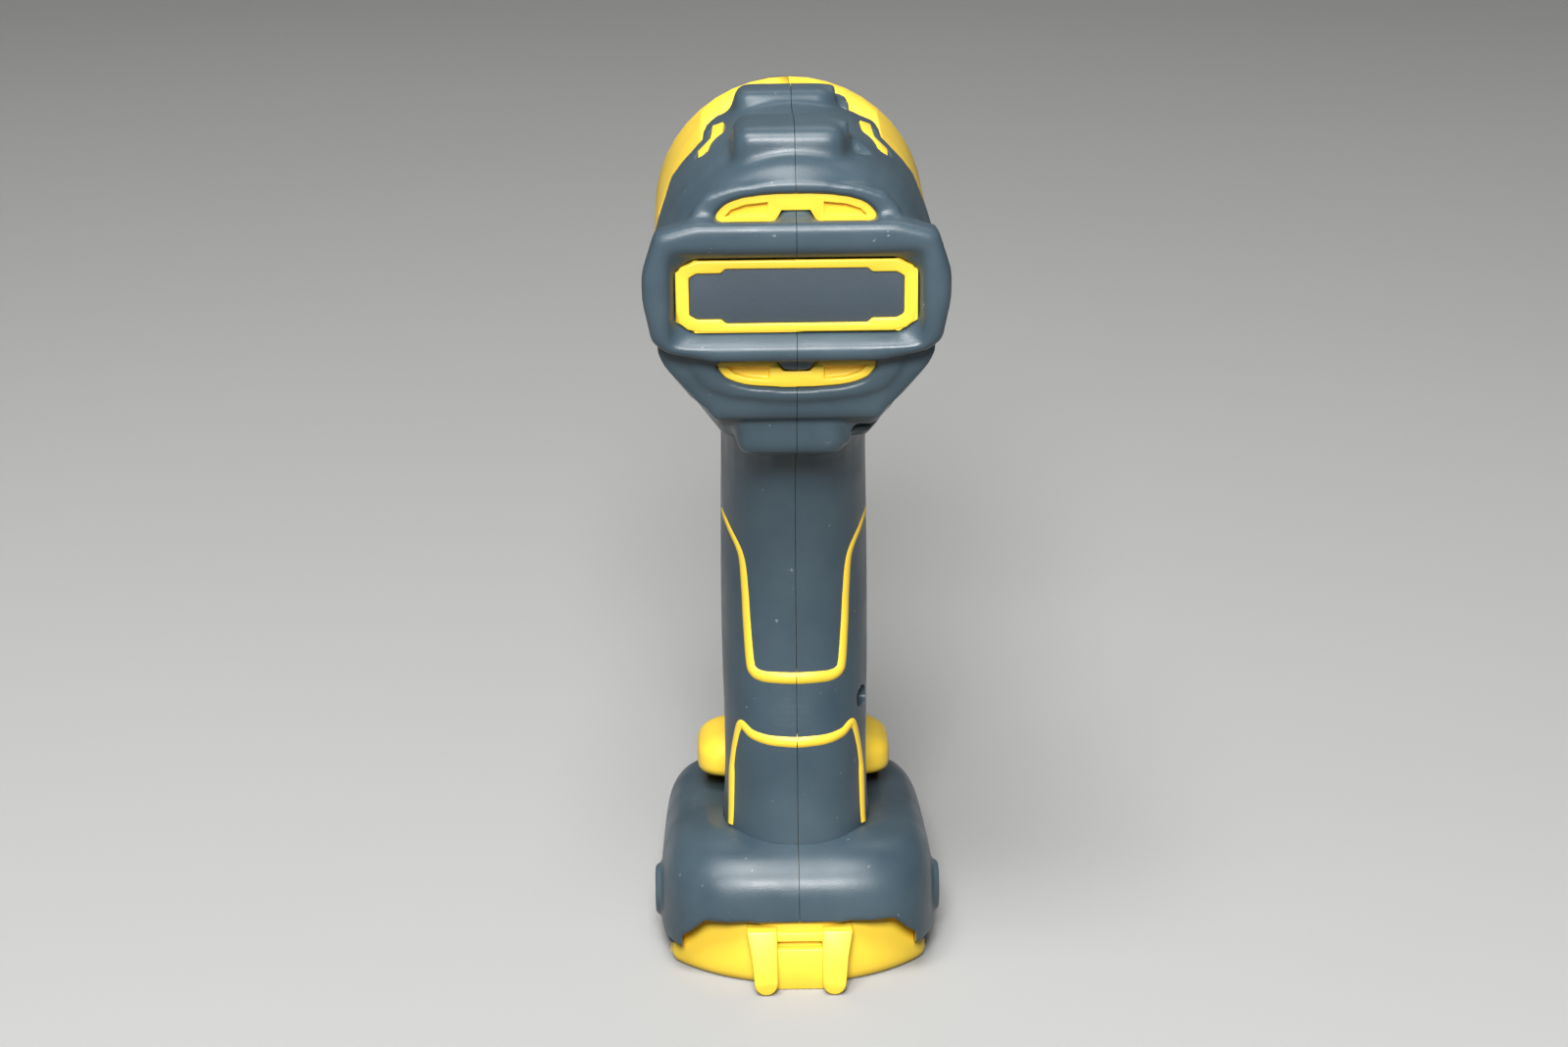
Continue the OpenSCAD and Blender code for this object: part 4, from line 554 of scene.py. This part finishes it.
overmould = {
    "left": "left_head_boot left_grip left_heel_pad", "right": "right_head_boot right_grip right_heel_pad",
    "voxel": 0.6, "relax": 8, "weld": 1e-6, "seamNear": 0.1, "seamLap": 0.4, "lapNear": 0.04,
    "laps": {"grip": [(2, 142.75, 0.7), (1, -30.375, -0.7)]},
    "channel": {"x": [0, 0.26, 0.31, 0.33, 0.365, 0.43, 0.53], "wide": [2.1] * 7, "lift": -0.9,
                "z": [0.405, 0.411, 0.455, 0.505, 0.565, 0.595, 0.615]},
    "backs": [(30, 60, -14, 1.15), (68.4, 107.4, -14, 1.15)], "backOver": 1, "backInside": 0.05,
    "pads": [((-13.6, -52.5, 190), (11.2, -34, 203.9), 3.6), ((-12.8, -19.5, 192), (9.4, -7.5, 204.3), 2.8),
             ((-13.6, -55.4, 129.8), (11.2, -42, 140.4), 3.8)],
    "rounder": [((-40, -70, 140), (40, -57.5, 200), 12), ((-16, -58, 194), (13, -5, 210), 15),
                ((-17, -60, 126), (14, -38, 142), 8)],
    "trueZ": (30, 126), "trueLift": 1.2, "trueNear": (0.91, 1.05), "fadeLow": 2, "fadeHigh": 12,
}


def lappedHalves():
    # the two halves are lapped over the parting line, to be softened as one and cut apart again
    bm = bmesh.new()
    for words, side in ((overmould["left"], 1), (overmould["right"], -1)):
        for name in words.split():
            start = len(bm.verts)
            bm.from_mesh(cad[name].data)
            bm.verts.ensure_lookup_table()
            for vert in bm.verts[start:]:
                if abs(vert.co.x) < overmould["seamNear"] * mm:
                    vert.co.x += side * overmould["seamLap"] * mm
                for axis, place, shift in overmould["laps"].get(name.split("_")[1], []):
                    if abs(vert.co[axis] - place * mm) < overmould["lapNear"] * mm:
                        vert.co[axis] += shift * mm
    return bm


def trueHandle(bm):
    # rubber close to the handle's surface is laid on it, fading out at both ends
    low, high = overmould["trueZ"]
    least, most = overmould["trueNear"]
    for vert in bm.verts:
        x, y, z = vert.co / mm
        if low < z < high:
            out, middle = outOfHandle(x, y, z, overmould["trueLift"])
            if least < out < most:
                share = min(1, (high - z) / overmould["fadeHigh"], (z - low) / overmould["fadeLow"])
                scale = 1 + (out ** (-1 / handle["power"]) - 1) * share
                vert.co.x, vert.co.y = x * scale * mm, (middle + (y - middle) * scale) * mm


def makeOvermould():
    bm = lappedHalves()
    for pad in overmould["pads"]:
        addInto(bm, roundedBlock(*pad))
    for word, side in sides:
        addInto(bm, layBead(overmould["channel"], side))
    over = overmould["backOver"]
    for low, high, rear, lift in overmould["backs"]:
        inside = handleBack(low - over, high + over, rear + over, overmould["backInside"])
        addInto(bm, carve(handleBack(low, high, rear, lift), [inside]))
    bmesh.ops.remove_doubles(bm, verts=bm.verts, dist=overmould["weld"])
    bm = soften(bm, overmould["voxel"], overmould["relax"])
    for low, high, times in overmould["rounder"]:
        near = [vert for vert in bm.verts if all(low[k] < vert.co[k] / mm < high[k] for k in range(3))]
        for _ in range(times):
            bmesh.ops.smooth_vert(bm, verts=near, factor=0.5, use_axis_x=True, use_axis_y=True,
                                  use_axis_z=True)
    trueHandle(bm)
    return bm


def layHalves(whole, name, replaced):
    for (word, side), nodes in zip(sides, replaced):
        half = newPiece(name + word.title(), cutHalf(whole, side), "rubber", "shell",
                        crease=60)
        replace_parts(half, *nodes.split())
        print(half.name, len(half.data.polygons))
    whole.free()


layHalves(makeOvermould(), "overmould", (overmould["left"], overmould["right"]))

footForm = {
    "power": 4.5, "taper": 0.92, "points": 88, "steps": 4,
    "z": [4.5, 7.6, 12.9, 19.2, 24.6, 28.4, 30.7, 31.9], "tilt": [0, 1.1, 2.9, 5, 6.7, 7.8, 8.5, 9],
    "half": [32.5, 33.4, 33.4, 33.2, 32.4, 30.6, 27.8, 22],
    "rear": [-54.1, -55.2, -55.2, -54.7, -52.9, -49.4, -45.2, -39],
    "front": [35.9, 36.8, 36.8, 36, 35, 33, 30, 24],
}
footCuts = {
    "wall": -2.3, "archHalf": 27.35, "archTop": 15.9, "archSide": 10.15, "archFlat": 0.8, "archDeep": -42.3,
    "below": -1, "behind": -70, "floor": ((-40, -70, -5), (40, 50, 5)),
    "corners": ((-40, -70, -5), (40, -43, 7.4)), "hookY": -30.2, "hookZ": 13.4, "padX": (30, 33.75),
    "padRadius": 6, "padEdge": 0.8, "holeX": (28, 40), "holeRadius": 3.1, "voxel": 0.55, "relax": 7,
}


def hookBars(reach, radius, edge):
    return [roundBar(*sorted(side * x for x in reach), footCuts["hookY"], footCuts["hookZ"], radius, edge)
            for word, side in sides]


def makeFoot():
    w, top, side = footCuts["archHalf"], footCuts["archTop"], footCuts["archSide"]
    flat, low = w * footCuts["archFlat"], footCuts["below"]
    arch = [(-w, low), (w, low), (w, side), (flat, top), (-flat, top), (-w, side)]
    bm = carve(loft(footForm), hookBars(footCuts["padX"], footCuts["padRadius"], footCuts["padEdge"]), "UNION")
    bm = carve(bm, [loft(footForm, footCuts["wall"]), prism(arch, footCuts["behind"], footCuts["archDeep"]),
                    roundedBlock(*footCuts["floor"], 0), roundedBlock(*footCuts["corners"], 0)]
               + hookBars(footCuts["holeX"], footCuts["holeRadius"], 0))
    layHalves(soften(bm, footCuts["voxel"], footCuts["relax"]), "footBoot",
              ("left_foot_boot", "right_foot_boot"))


makeFoot()

noseBoot = {
    "outer": [(29.5, 13.4), (29.6, 14.6), (29.6, 16.2), (29.1, 17.2), (28.4, 18.4), (27.9, 22), (26.9, 28),
              (26.1, 33), (25.7, 36), (24.9, 39.2), (23.3, 41.6), (21.3, 43.6), (19.6, 45.6), (17.2, 47.2),
              (15.2, 48.1), (14.5, 49.2), (14.1, 50), (13.2, 50.4)],
    "inner": [(12.3, 50.4), (12.3, 48.6), (16.95, 46.2), (19.35, 42.9), (22.95, 40.5), (25.3, 35.7),
              (25.3, 13.4)],
    "steps": 96, "knots": 4,
}


def makeNoseBoot():
    axisZ = axisHeight * mm
    radii, places = zip(*noseBoot["outer"])
    count = (len(radii) - 1) * noseBoot["knots"] + 1
    line = [(throughKnots(radii, i / noseBoot["knots"]), throughKnots(places, i / noseBoot["knots"]))
            for i in range(count)]
    bm = bmesh.new()
    verts = [bm.verts.new((r * mm, y * mm, axisZ)) for r, y in line + noseBoot["inner"]]
    edges = [bm.edges.new((verts[i - 1], verts[i])) for i in range(len(verts))]
    bmesh.ops.spin(bm, geom=verts + edges, cent=(0, 0, axisZ), axis=(0, 1, 0), angle=2 * math.pi,
                   steps=noseBoot["steps"], use_merge=True, use_duplicate=False)
    bmesh.ops.remove_doubles(bm, verts=bm.verts, dist=weld)
    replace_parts(newPiece("noseBoot", faceOut(bm), "rubber", "shell"), "nose_boot")


makeNoseBoot()
print("rubber made")


# yellow shell and everything else seen from outside, with true edges

trueEdges = [
    {"node": "left_housing", "body": "shell", "slot": "yellow_plastic", "crease": 28},
    {"node": "right_housing", "body": "shell", "slot": "yellow_plastic", "crease": 28},
    {"node": "trigger", "body": "trigger", "slot": "black_plastic", "soft": (0.4, 14)},
    {"node": "direction_bar", "body": "direction_bar", "slot": "black_plastic", "edge": 0.5},
    {"node": "hammer_case", "body": "shell", "slot": "cast_aluminium"},
    {"node": "anvil", "body": "anvil", "slot": "steel", "edge": 0.2},
    {"node": "chuck_collar", "body": "collar", "slot": "steel", "edge": 0.3},
    {"node": "snap_ring", "body": "anvil", "slot": "steel"},
    {"node": "housing_screws", "body": "shell", "slot": "steel", "edge": 0.15},
    {"node": "hook_inserts", "body": "shell", "slot": "brass_contact"},
]
podRoom = {
    "y": (-9, 19.5), "z": (22, 43.5), "half": 15.3, "front": 3.5, "top": 41.5, "topBack": -5,
    "upperFrom": 33, "upper": 0.78, "lower": 0.1, "noseY": 11, "noseZ": 35, "nose": 0.6, "lidZ": 34, "lid": 0.55,
}
lineRoom = {"back": -12, "z": (31, 108), "proud": 1.03, "inside": 0.97}


def inPod(x, y, z):
    room = podRoom
    if not (room["y"][0] < y < room["y"][1] and room["z"][0] < z < room["z"][1]):
        return False
    return abs(x) > room["half"] or y > room["front"] or (z > room["top"] and y > room["topBack"])


def fitHousing(bm):
    # the pod draws in under the fuller one made below, and the old line ridges sink into the rubber
    half, noseY, lidZ = podRoom["half"], podRoom["noseY"], podRoom["lidZ"]
    for vert in bm.verts:
        x, y, z = vert.co / mm
        if inPod(x, y, z):
            if abs(x) > half:
                share = podRoom["upper"] if z > podRoom["upperFrom"] else podRoom["lower"]
                vert.co.x = math.copysign(half + (abs(x) - half) * share, x) * mm
            if y > noseY and z > podRoom["noseZ"]:
                vert.co.y = (noseY + (y - noseY) * podRoom["nose"]) * mm
            vert.co.z = min(z, lidZ + (z - lidZ) * podRoom["lid"]) * mm
        elif y < lineRoom["back"] and lineRoom["z"][0] < z < lineRoom["z"][1]:
            out, middle = outOfHandle(x, y, z, 0)
            if out > lineRoom["proud"]:
                shrink = out ** (-1 / handle["power"]) * lineRoom["inside"]
                vert.co.x, vert.co.y = x * shrink * mm, (middle + (y - middle) * shrink) * mm


for item in trueEdges:
    bm = copyNode(item["node"])
    if "edge" in item:
        softEdges(bm, item["edge"] * mm)
    if "soft" in item:
        bm = soften(bm, *item["soft"])
    if item["node"].endswith("_housing"):
        fitHousing(bm)
    words = item["node"].split("_")
    piece = newPiece(words[0] + "".join(w.title() for w in words[1:]) + "Form", bm, finishOf[item["node"]],
                     item["body"], item.get("crease", 30))
    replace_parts(piece, item["node"])
print("true edges given to", len(trueEdges))


# springs, each on its own mesh; nothing here makes them shorten with the piece they push

springs = [
    {"node": "hammer_spring", "body": "cam", "joint": "hammer_slide", "fixed": 11.6, "travel": 7},
    {"node": "collar_spring", "body": "anvil", "joint": "collar_slide", "fixed": 61.7, "travel": 4},
    {"node": "trigger_spring", "body": "shell", "joint": "trigger_slide", "fixed": 1.7, "travel": 6.5},
]
for item in springs:
    name = item["node"].replace("_s", "S") + "Coil"
    coil = newPiece(name, copyNode(item["node"]), finishOf[item["node"]], item["body"], crease=40)
    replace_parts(coil, item["node"])
    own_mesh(coil)


# lamp pod that stands out on both sides of the handle

lampPod = {
    "power": 4, "taper": 1, "points": 72, "steps": 4, "tilt": [0] * 9,
    "z": [22.9, 26.5, 29.4, 31, 32.4, 34.6, 37.2, 39.3, 40.4],
    "half": [21, 21.7, 22.4, 23.1, 23.45, 23.5, 23, 20.7, 17.3],
    "rear": [10, 6, 0, -5.5, -7.6, -8.1, -7.8, -6.6, -4.2],
    "front": [17.3, 18.1, 18.1, 18.1, 18, 17.9, 17.2, 15.4, 12.5],
    "lensGap": 0.2, "lensBehind": 2, "lensAhead": 30,
}


def makeLampPod():
    lo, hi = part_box("lamp_lens")
    gap = lampPod["lensGap"]
    w, low, high = hi[0] / mm + gap, lo[2] / mm - gap, hi[2] / mm + gap
    window = prism([(-w, low), (w, low), (w, high), (-w, high)], lo[1] / mm - lampPod["lensBehind"],
                   lampPod["lensAhead"])
    bm = carve(loft(lampPod), [window])
    for word, side in sides:
        yellowPiece("lampPod" + word.title(), cutHalf(bm, side))
    bm.free()


makeLampPod()
print("lamp pod made")


# vents and badge frame behind

rearVent = {
    "halfWidth": 17.7, "height": 6.1, "low": 15.75, "face": -58.42, "depth": 2.6, "edge": 0.4, "sharp": 25,
    "x": [1, 0.985, 0.94, 0.84, 0.6, 0.2], "z": [0, 0.2, 0.42, 0.68, 0.9, 1], "steps": 5,
    "tabBase": 4.6, "tabTop": 3.1, "tabHeight": 2.5,
    "pocketX": [0.34, 0.87, 0.79, 0.61, 0.34], "pocketZ": [0.21, 0.2, 0.45, 0.63, 0.71], "pocketDepth": 1.5,
    "over": 1,
}


def onAxis(points, up=1):
    return [(x, axisHeight + up * z) for x, z in points]


def makeVent(name, up):
    w, h, low, steps = (rearVent[word] for word in ("halfWidth", "height", "low", "steps"))
    arch = [(w * throughKnots(rearVent["x"], i / steps), low + h * throughKnots(rearVent["z"], i / steps))
            for i in range((len(rearVent["x"]) - 1) * steps + 1)]
    base, top, tabZ = rearVent["tabBase"], rearVent["tabTop"], low + rearVent["tabHeight"]
    tab = [(-base, low), (-top, tabZ), (top, tabZ), (base, low)]
    face = rearVent["face"]
    pockets = []
    for word, side in sides:
        corners = [(side * w * x, low + h * z) for x, z in zip(rearVent["pocketX"], rearVent["pocketZ"])]
        pockets.append(prism(onAxis(corners, up), face - rearVent["over"], face + rearVent["pocketDepth"]))
    bm = carve(prism(onAxis(mirrored(arch) + tab, up), face, face + rearVent["depth"]), pockets)
    yellowPiece(name, softEdges(bm, rearVent["edge"] * mm, rearVent["sharp"]))


makeVent("upperVent", 1)
makeVent("lowerVent", -1)

badgeFrame = {
    "width": 52.4, "height": 16.2, "face": -62.05, "depth": 2.4, "edge": 0.45,
    "x": [0.817, 0.955, 0.987, 1, 1, 0.977, 0.905, 0.794],
    "z": [1, 0.82, 0.69, 0.42, -0.37, -0.735, -0.92, -1],
    "plateW": 46.64, "plateH": 12.31, "notch": 0.66, "step": 0.97, "corner": 1.6, "over": 1, "through": 5,
    "plateFace": -61.5, "plateDepth": 0.5, "plateEdge": 0.12, "plateFit": (0.998, 0.995),
}


def makeBadge():
    w, h, face = badgeFrame["width"] / 2, badgeFrame["height"] / 2, badgeFrame["face"]
    outer = mirrored([(x * w, z * h) for x, z in zip(badgeFrame["x"], badgeFrame["z"])])
    pw, ph, d = badgeFrame["plateW"] / 2, badgeFrame["plateH"] / 2, badgeFrame["step"]
    n, c = pw * badgeFrame["notch"], pw - badgeFrame["corner"]
    upper = [(-pw, ph - 2 * d), (-c, ph - d), (-n - d, ph - d), (-n, ph), (n, ph), (n + d, ph - d), (c, ph - d),
             (pw, ph - 2 * d)]
    inner = upper + [(x, -z) for x, z in reversed(upper)]
    hole = prism(onAxis(inner), face - badgeFrame["over"], face + badgeFrame["through"])
    ring = carve(prism(onAxis(outer), face, face + badgeFrame["depth"]), [hole])
    yellowPiece("badgeFrame", softEdges(ring, badgeFrame["edge"] * mm))
    fitX, fitZ = badgeFrame["plateFit"]
    plate = prism(onAxis([(x * fitX, z * fitZ) for x, z in inner]), badgeFrame["plateFace"],
                  badgeFrame["plateFace"] + badgeFrame["plateDepth"])
    softEdges(plate, badgeFrame["plateEdge"] * mm)
    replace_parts(newPiece("badgePlate", plate, "badge", "shell", crease=40), "badge_plate")


makeBadge()
print("vents and badge made")


# yellow windows in the rubber over the barrel

barrelForm = {
    "radius": 31.4, "rear": -57.125, "length": 70.2, "r": [0.77, 0.86, 0.905, 0.95, 0.98, 1, 1, 0.985],
    "y": [0, 0.02, 0.08, 0.17, 0.3, 0.48, 0.975, 1],
    "windowX": [0.49, 0.567, 0.576, 0.583, 0.672, 0.669, 0.605, 0.596, 0.57, 0.503],
    "windowY": [0.506, 0.54, 0.452, 0.409, 0.375, 0.329, 0.31, 0.358, 0.386, 0.415],
    "lift": 1.3, "deep": 0.9, "inward": (0.6, 0.8), "edge": 0.2,
}


def barrelRadius(share):
    steps = list(zip(barrelForm["y"], barrelForm["r"]))
    for (y0, r0), (y1, r1) in zip(steps, steps[1:]):
        if share <= y1:
            return barrelForm["radius"] * (r0 + (r1 - r0) * (share - y0) / (y1 - y0))
    return barrelForm["radius"] * steps[-1][1]


def makeWindow(word, side):
    bm = bmesh.new()
    verts = []
    for xShare, yShare in zip(barrelForm["windowX"], barrelForm["windowY"]):
        x, r = barrelForm["radius"] * xShare, barrelRadius(yShare) + barrelForm["lift"]
        y = barrelForm["rear"] + barrelForm["length"] * yShare
        verts.append(bm.verts.new(Vector((side * x, y, axisHeight + math.sqrt(r * r - x * x))) * mm))
    across, down = barrelForm["inward"]
    growFace(bm, bm.faces.new(verts), Vector((-side * across, 0, -down)) * barrelForm["deep"] * mm)
    yellowPiece("barrelWindow" + word.title(), softEdges(bm, barrelForm["edge"] * mm))


for word, side in sides:
    makeWindow(word, side)
print("windows made")


# terminal cover with its latch

coverForm = {
    "arcY": -16.2, "radius": 39.5, "arcStep": 3, "tip": 4, "tipTurn": 47, "tipStep": 12, "tipEnd": 120,
    "tail": 0.75, "tailOver": 1, "z": [0, 0.5, 1.4, 2.4, 4.2, 6, 9, 12, 15.72],
    "inset": [1.3, 0.6, 0.15, 0, 0.1, 0.35, 0.85, 1.4, 2.2], "cut": -36.6, "crease": 42,
    "arch": 27.1, "archSide": 9.9, "archTop": 15.7, "archFlat": 0.8, "wing": 5, "wide": 40, "below": -1,
    "behind": -70,
}


def coverRing(inset):
    # half the rear edge: a wide arc that ends in a small one, then mirrored
    arcY, tip, first = coverForm["arcY"], coverForm["tip"], coverForm["tipTurn"]
    radius, middle = coverForm["radius"] - inset, coverForm["radius"] - tip
    line = []
    for turn in range(0, first + 1, coverForm["arcStep"]):
        a = math.radians(turn)
        line.append((radius * math.sin(a), arcY - radius * math.cos(a)))
    cx, cy = middle * math.sin(math.radians(first)), arcY - middle * math.cos(math.radians(first))
    for turn in range(coverForm["tipStep"], coverForm["tipEnd"] + 1, coverForm["tipStep"]):
        a = math.radians(first + turn)
        line.append((cx + (tip - inset) * math.sin(a), cy - (tip - inset) * math.cos(a)))
    line.append((coverForm["tail"] * cx, coverForm["cut"] + coverForm["tailOver"]))
    return mirrored(line)[:-1]


def makeCover():
    bm = bmesh.new()
    rings = []
    for z, inset in zip(coverForm["z"], coverForm["inset"]):
        verts = [bm.verts.new((x * mm, y * mm, z * mm)) for x, y in coverRing(inset)]
        rings.append([bm.edges.new((verts[i - 1], verts[i])) for i in range(len(verts))])
    bridgeRings(bm, rings)
    w, side, top, wing = (coverForm[word] for word in ("arch", "archSide", "archTop", "wing"))
    wide, low, flat = coverForm["wide"], coverForm["below"], w * coverForm["archFlat"]
    gate = [(-wide, low), (wide, low), (wide, wing), (w, wing), (w, side), (flat, top), (-flat, top), (-w, side),
            (-w, wing), (-wide, wing)]
    bm = carve(bm, [prism(gate, coverForm["behind"], coverForm["cut"])], "INTERSECT")
    front = yellowPiece("coverFront", bm, "terminal_cover", coverForm["crease"])
    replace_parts(front, "terminal_cover")

    slide = copyNode("terminal_cover")
    cutPlane(slide, (0, coverForm["cut"] * mm, 0), (0, 1, 0), clear_inner=True)
    yellowPiece("coverSlide", closeHoles(slide), "terminal_cover", crease=30)


coverLatch = {
    "inner": 5.2, "outer": 10.7, "flare": 12.4, "flareShare": 0.35, "low": 0.1, "shoulder": 3, "high": 14.4,
    "y": (-61.1, -49), "slopeTop": (-56.6, 14.4), "slopeToe": (-61.1, 3.2), "slopeNear": 0.01, "turn": 15,
    "edge": 0.5, "sharp": 28, "segments": 4,
    "bar": [(-49, 0), (-49, 13.6), (-55.6, 13.6), (-57.7, 5), (-57.7, 0)], "barX": (-5.9, 5.9), "barEdge": 0.45,
    "slot": ((-5.2, -64, 9.7), (5.2, -53.6, 11.5)),
}


def makeLeg(word, side):
    inner, outer, flare = (coverLatch[name] for name in ("inner", "outer", "flare"))
    low, shoulder, high = (coverLatch[name] for name in ("low", "shoulder", "high"))
    (topY, topZ), (toeY, toeZ) = coverLatch["slopeTop"], coverLatch["slopeToe"]
    middle, radius = (inner + outer) / 2, (outer - inner) / 2
    line = [(inner, high), (flare, high),
            (outer + coverLatch["flareShare"] * (flare - outer), (shoulder + high) / 2)]
    for turn in range(0, 181, coverLatch["turn"]):
        a = math.radians(turn)
        line.append((middle + radius * math.cos(a), shoulder - (shoulder - low) * math.sin(a)))
    leg = prism([(side * x, z) for x, z in line], *coverLatch["y"])
    slopeY, slopeZ = toeZ - topZ, topY - toeY
    cutPlane(leg, (0, topY * mm, topZ * mm), (0, slopeY, slopeZ))
    gone = [v for v in leg.verts
            if (v.co.y / mm - topY) * slopeY + (v.co.z / mm - topZ) * slopeZ > coverLatch["slopeNear"]]
    bmesh.ops.delete(leg, geom=gone, context="VERTS")
    faceOut(closeHoles(leg))
    softEdges(leg, coverLatch["edge"] * mm, coverLatch["sharp"], coverLatch["segments"])
    yellowPiece("coverLeg" + word.title(), leg, "terminal_cover")


def makeLatch():
    for word, side in sides:
        makeLeg(word, side)
    bar = carve(slab(coverLatch["bar"], *coverLatch["barX"]), [roundedBlock(*coverLatch["slot"], 0)])
    yellowPiece("coverBar", softEdges(bar, coverLatch["barEdge"] * mm), "terminal_cover")


makeCover()
makeLatch()
print("cover made")


# studio

studio = {
    "floor": (0.36, 0.36, 0.355), "bounce": (0.05, 0.05, 0.05), "rough": 0.8, "mottle": (3, 4), "deep": 0.97,
    "radius": 2.4, "bend": 0.8, "bendSteps": 12, "height": 2.8, "steps": 72, "weld": 1e-5,
    "air": (0.86, 0.88, 0.9), "airStrength": 0.02,
}


def floorPaper():
    # pale where it is seen, dark in the light that it throws back
    mat, tree, shader = startFinish("floorPaper", studio["floor"], studio["rough"])
    deep = tuple(c * studio["deep"] for c in studio["floor"])
    paper = ramp(tree, objectNoise(tree, *studio["mottle"]), deep, studio["floor"])
    ray = tree.nodes.new("ShaderNodeLightPath")
    seen = ray.outputs["Is Camera Ray"]
    for word in ("Is Glossy Ray", "Is Transmission Ray"):
        both = tree.nodes.new("ShaderNodeMath")
        both.operation = "MAXIMUM"
        tree.links.new(seen, both.inputs[0])
        tree.links.new(ray.outputs[word], both.inputs[1])
        seen = both.outputs["Value"]
    tree.links.new(mixTones(tree, seen, studio["bounce"], paper), shader.inputs["Base Color"])
    return mat


def makeStudio():
    # round paper floor that rises to a wall on every side
    bm = bmesh.new()
    bend = studio["bend"]
    inner = studio["radius"] - bend
    turns = [math.radians(90 / studio["bendSteps"] * i) for i in range(studio["bendSteps"] + 1)]
    line = [(0, 0)] + [(inner + bend * math.sin(a), bend * (1 - math.cos(a))) for a in turns]
    verts = [bm.verts.new((x, 0, z)) for x, z in line + [(studio["radius"], studio["height"])]]
    edges = [bm.edges.new(pair) for pair in zip(verts, verts[1:])]
    bmesh.ops.spin(bm, geom=verts + edges, cent=(0, 0, 0), axis=(0, 0, 1), angle=2 * math.pi,
                   steps=studio["steps"], use_merge=True)
    bmesh.ops.remove_doubles(bm, verts=bm.verts, dist=studio["weld"])
    floor = meshPiece("studioFloor", faceOut(bm))
    smoothFaces(floor.data)
    floor.data.materials.append(floorPaper())


lamps = [
    {"name": "frontSoftbox", "place": (-0.1, -1.4, 1.1), "aim": (0, 0, 0.1), "size": (0.5, 0.4), "watts": 42},
    {"name": "topSoftbox", "place": (-0.16, -0.5, 1.3), "aim": (0, -0.02, 0.12), "size": (0.7, 0.45), "watts": 19},
    {"name": "leftFill", "place": (-1.2, -0.6, 0.55), "aim": (0, 0, 0.1), "size": (0.5, 0.9), "watts": 0.8},
    {"name": "backRim", "place": (0.1, 0.7, 1.1), "aim": (0, 0, 0.15), "size": (0.9, 0.5), "watts": 2.5},
]


def lookAlong(item):
    return (Vector(item["aim"]) - Vector(item["place"])).to_track_quat("-Z", "Y")


def makeLights():
    for item in lamps:
        data = bpy.data.lights.new(item["name"], "AREA")
        data.shape = "RECTANGLE"
        data.size, data.size_y = item["size"]
        data.energy = item["watts"]
        lamp = linkPiece(item["name"], data)
        lamp.location = item["place"]
        lamp.rotation_euler = lookAlong(item).to_euler()
    world = bpy.data.worlds.new("studioAir")
    world.use_nodes = True
    air = world.node_tree.nodes["Background"]
    air.inputs["Color"].default_value = (*studio["air"], 1)
    air.inputs["Strength"].default_value = studio["airStrength"]
    bpy.context.scene.world = world


viewer = {"place": (-0.018, -0.831, 0.397), "aim": (-0.0025, -0.03, 0.1055), "lens": 85, "sensor": 36,
          "roll": -0.41}


def makeCamera():
    data = bpy.data.cameras.new("photoView")
    data.lens = viewer["lens"]
    data.sensor_width = viewer["sensor"]
    camera = linkPiece("photoView", data)
    camera.location = viewer["place"]
    roll = Quaternion((0, 0, 1), math.radians(viewer["roll"]))
    camera.rotation_euler = (lookAlong(viewer) @ roll).to_euler()
    bpy.context.scene.camera = camera


makeStudio()
makeLights()
makeCamera()
bpy.context.scene.view_settings.view_transform = "Standard"
print("studio ready")
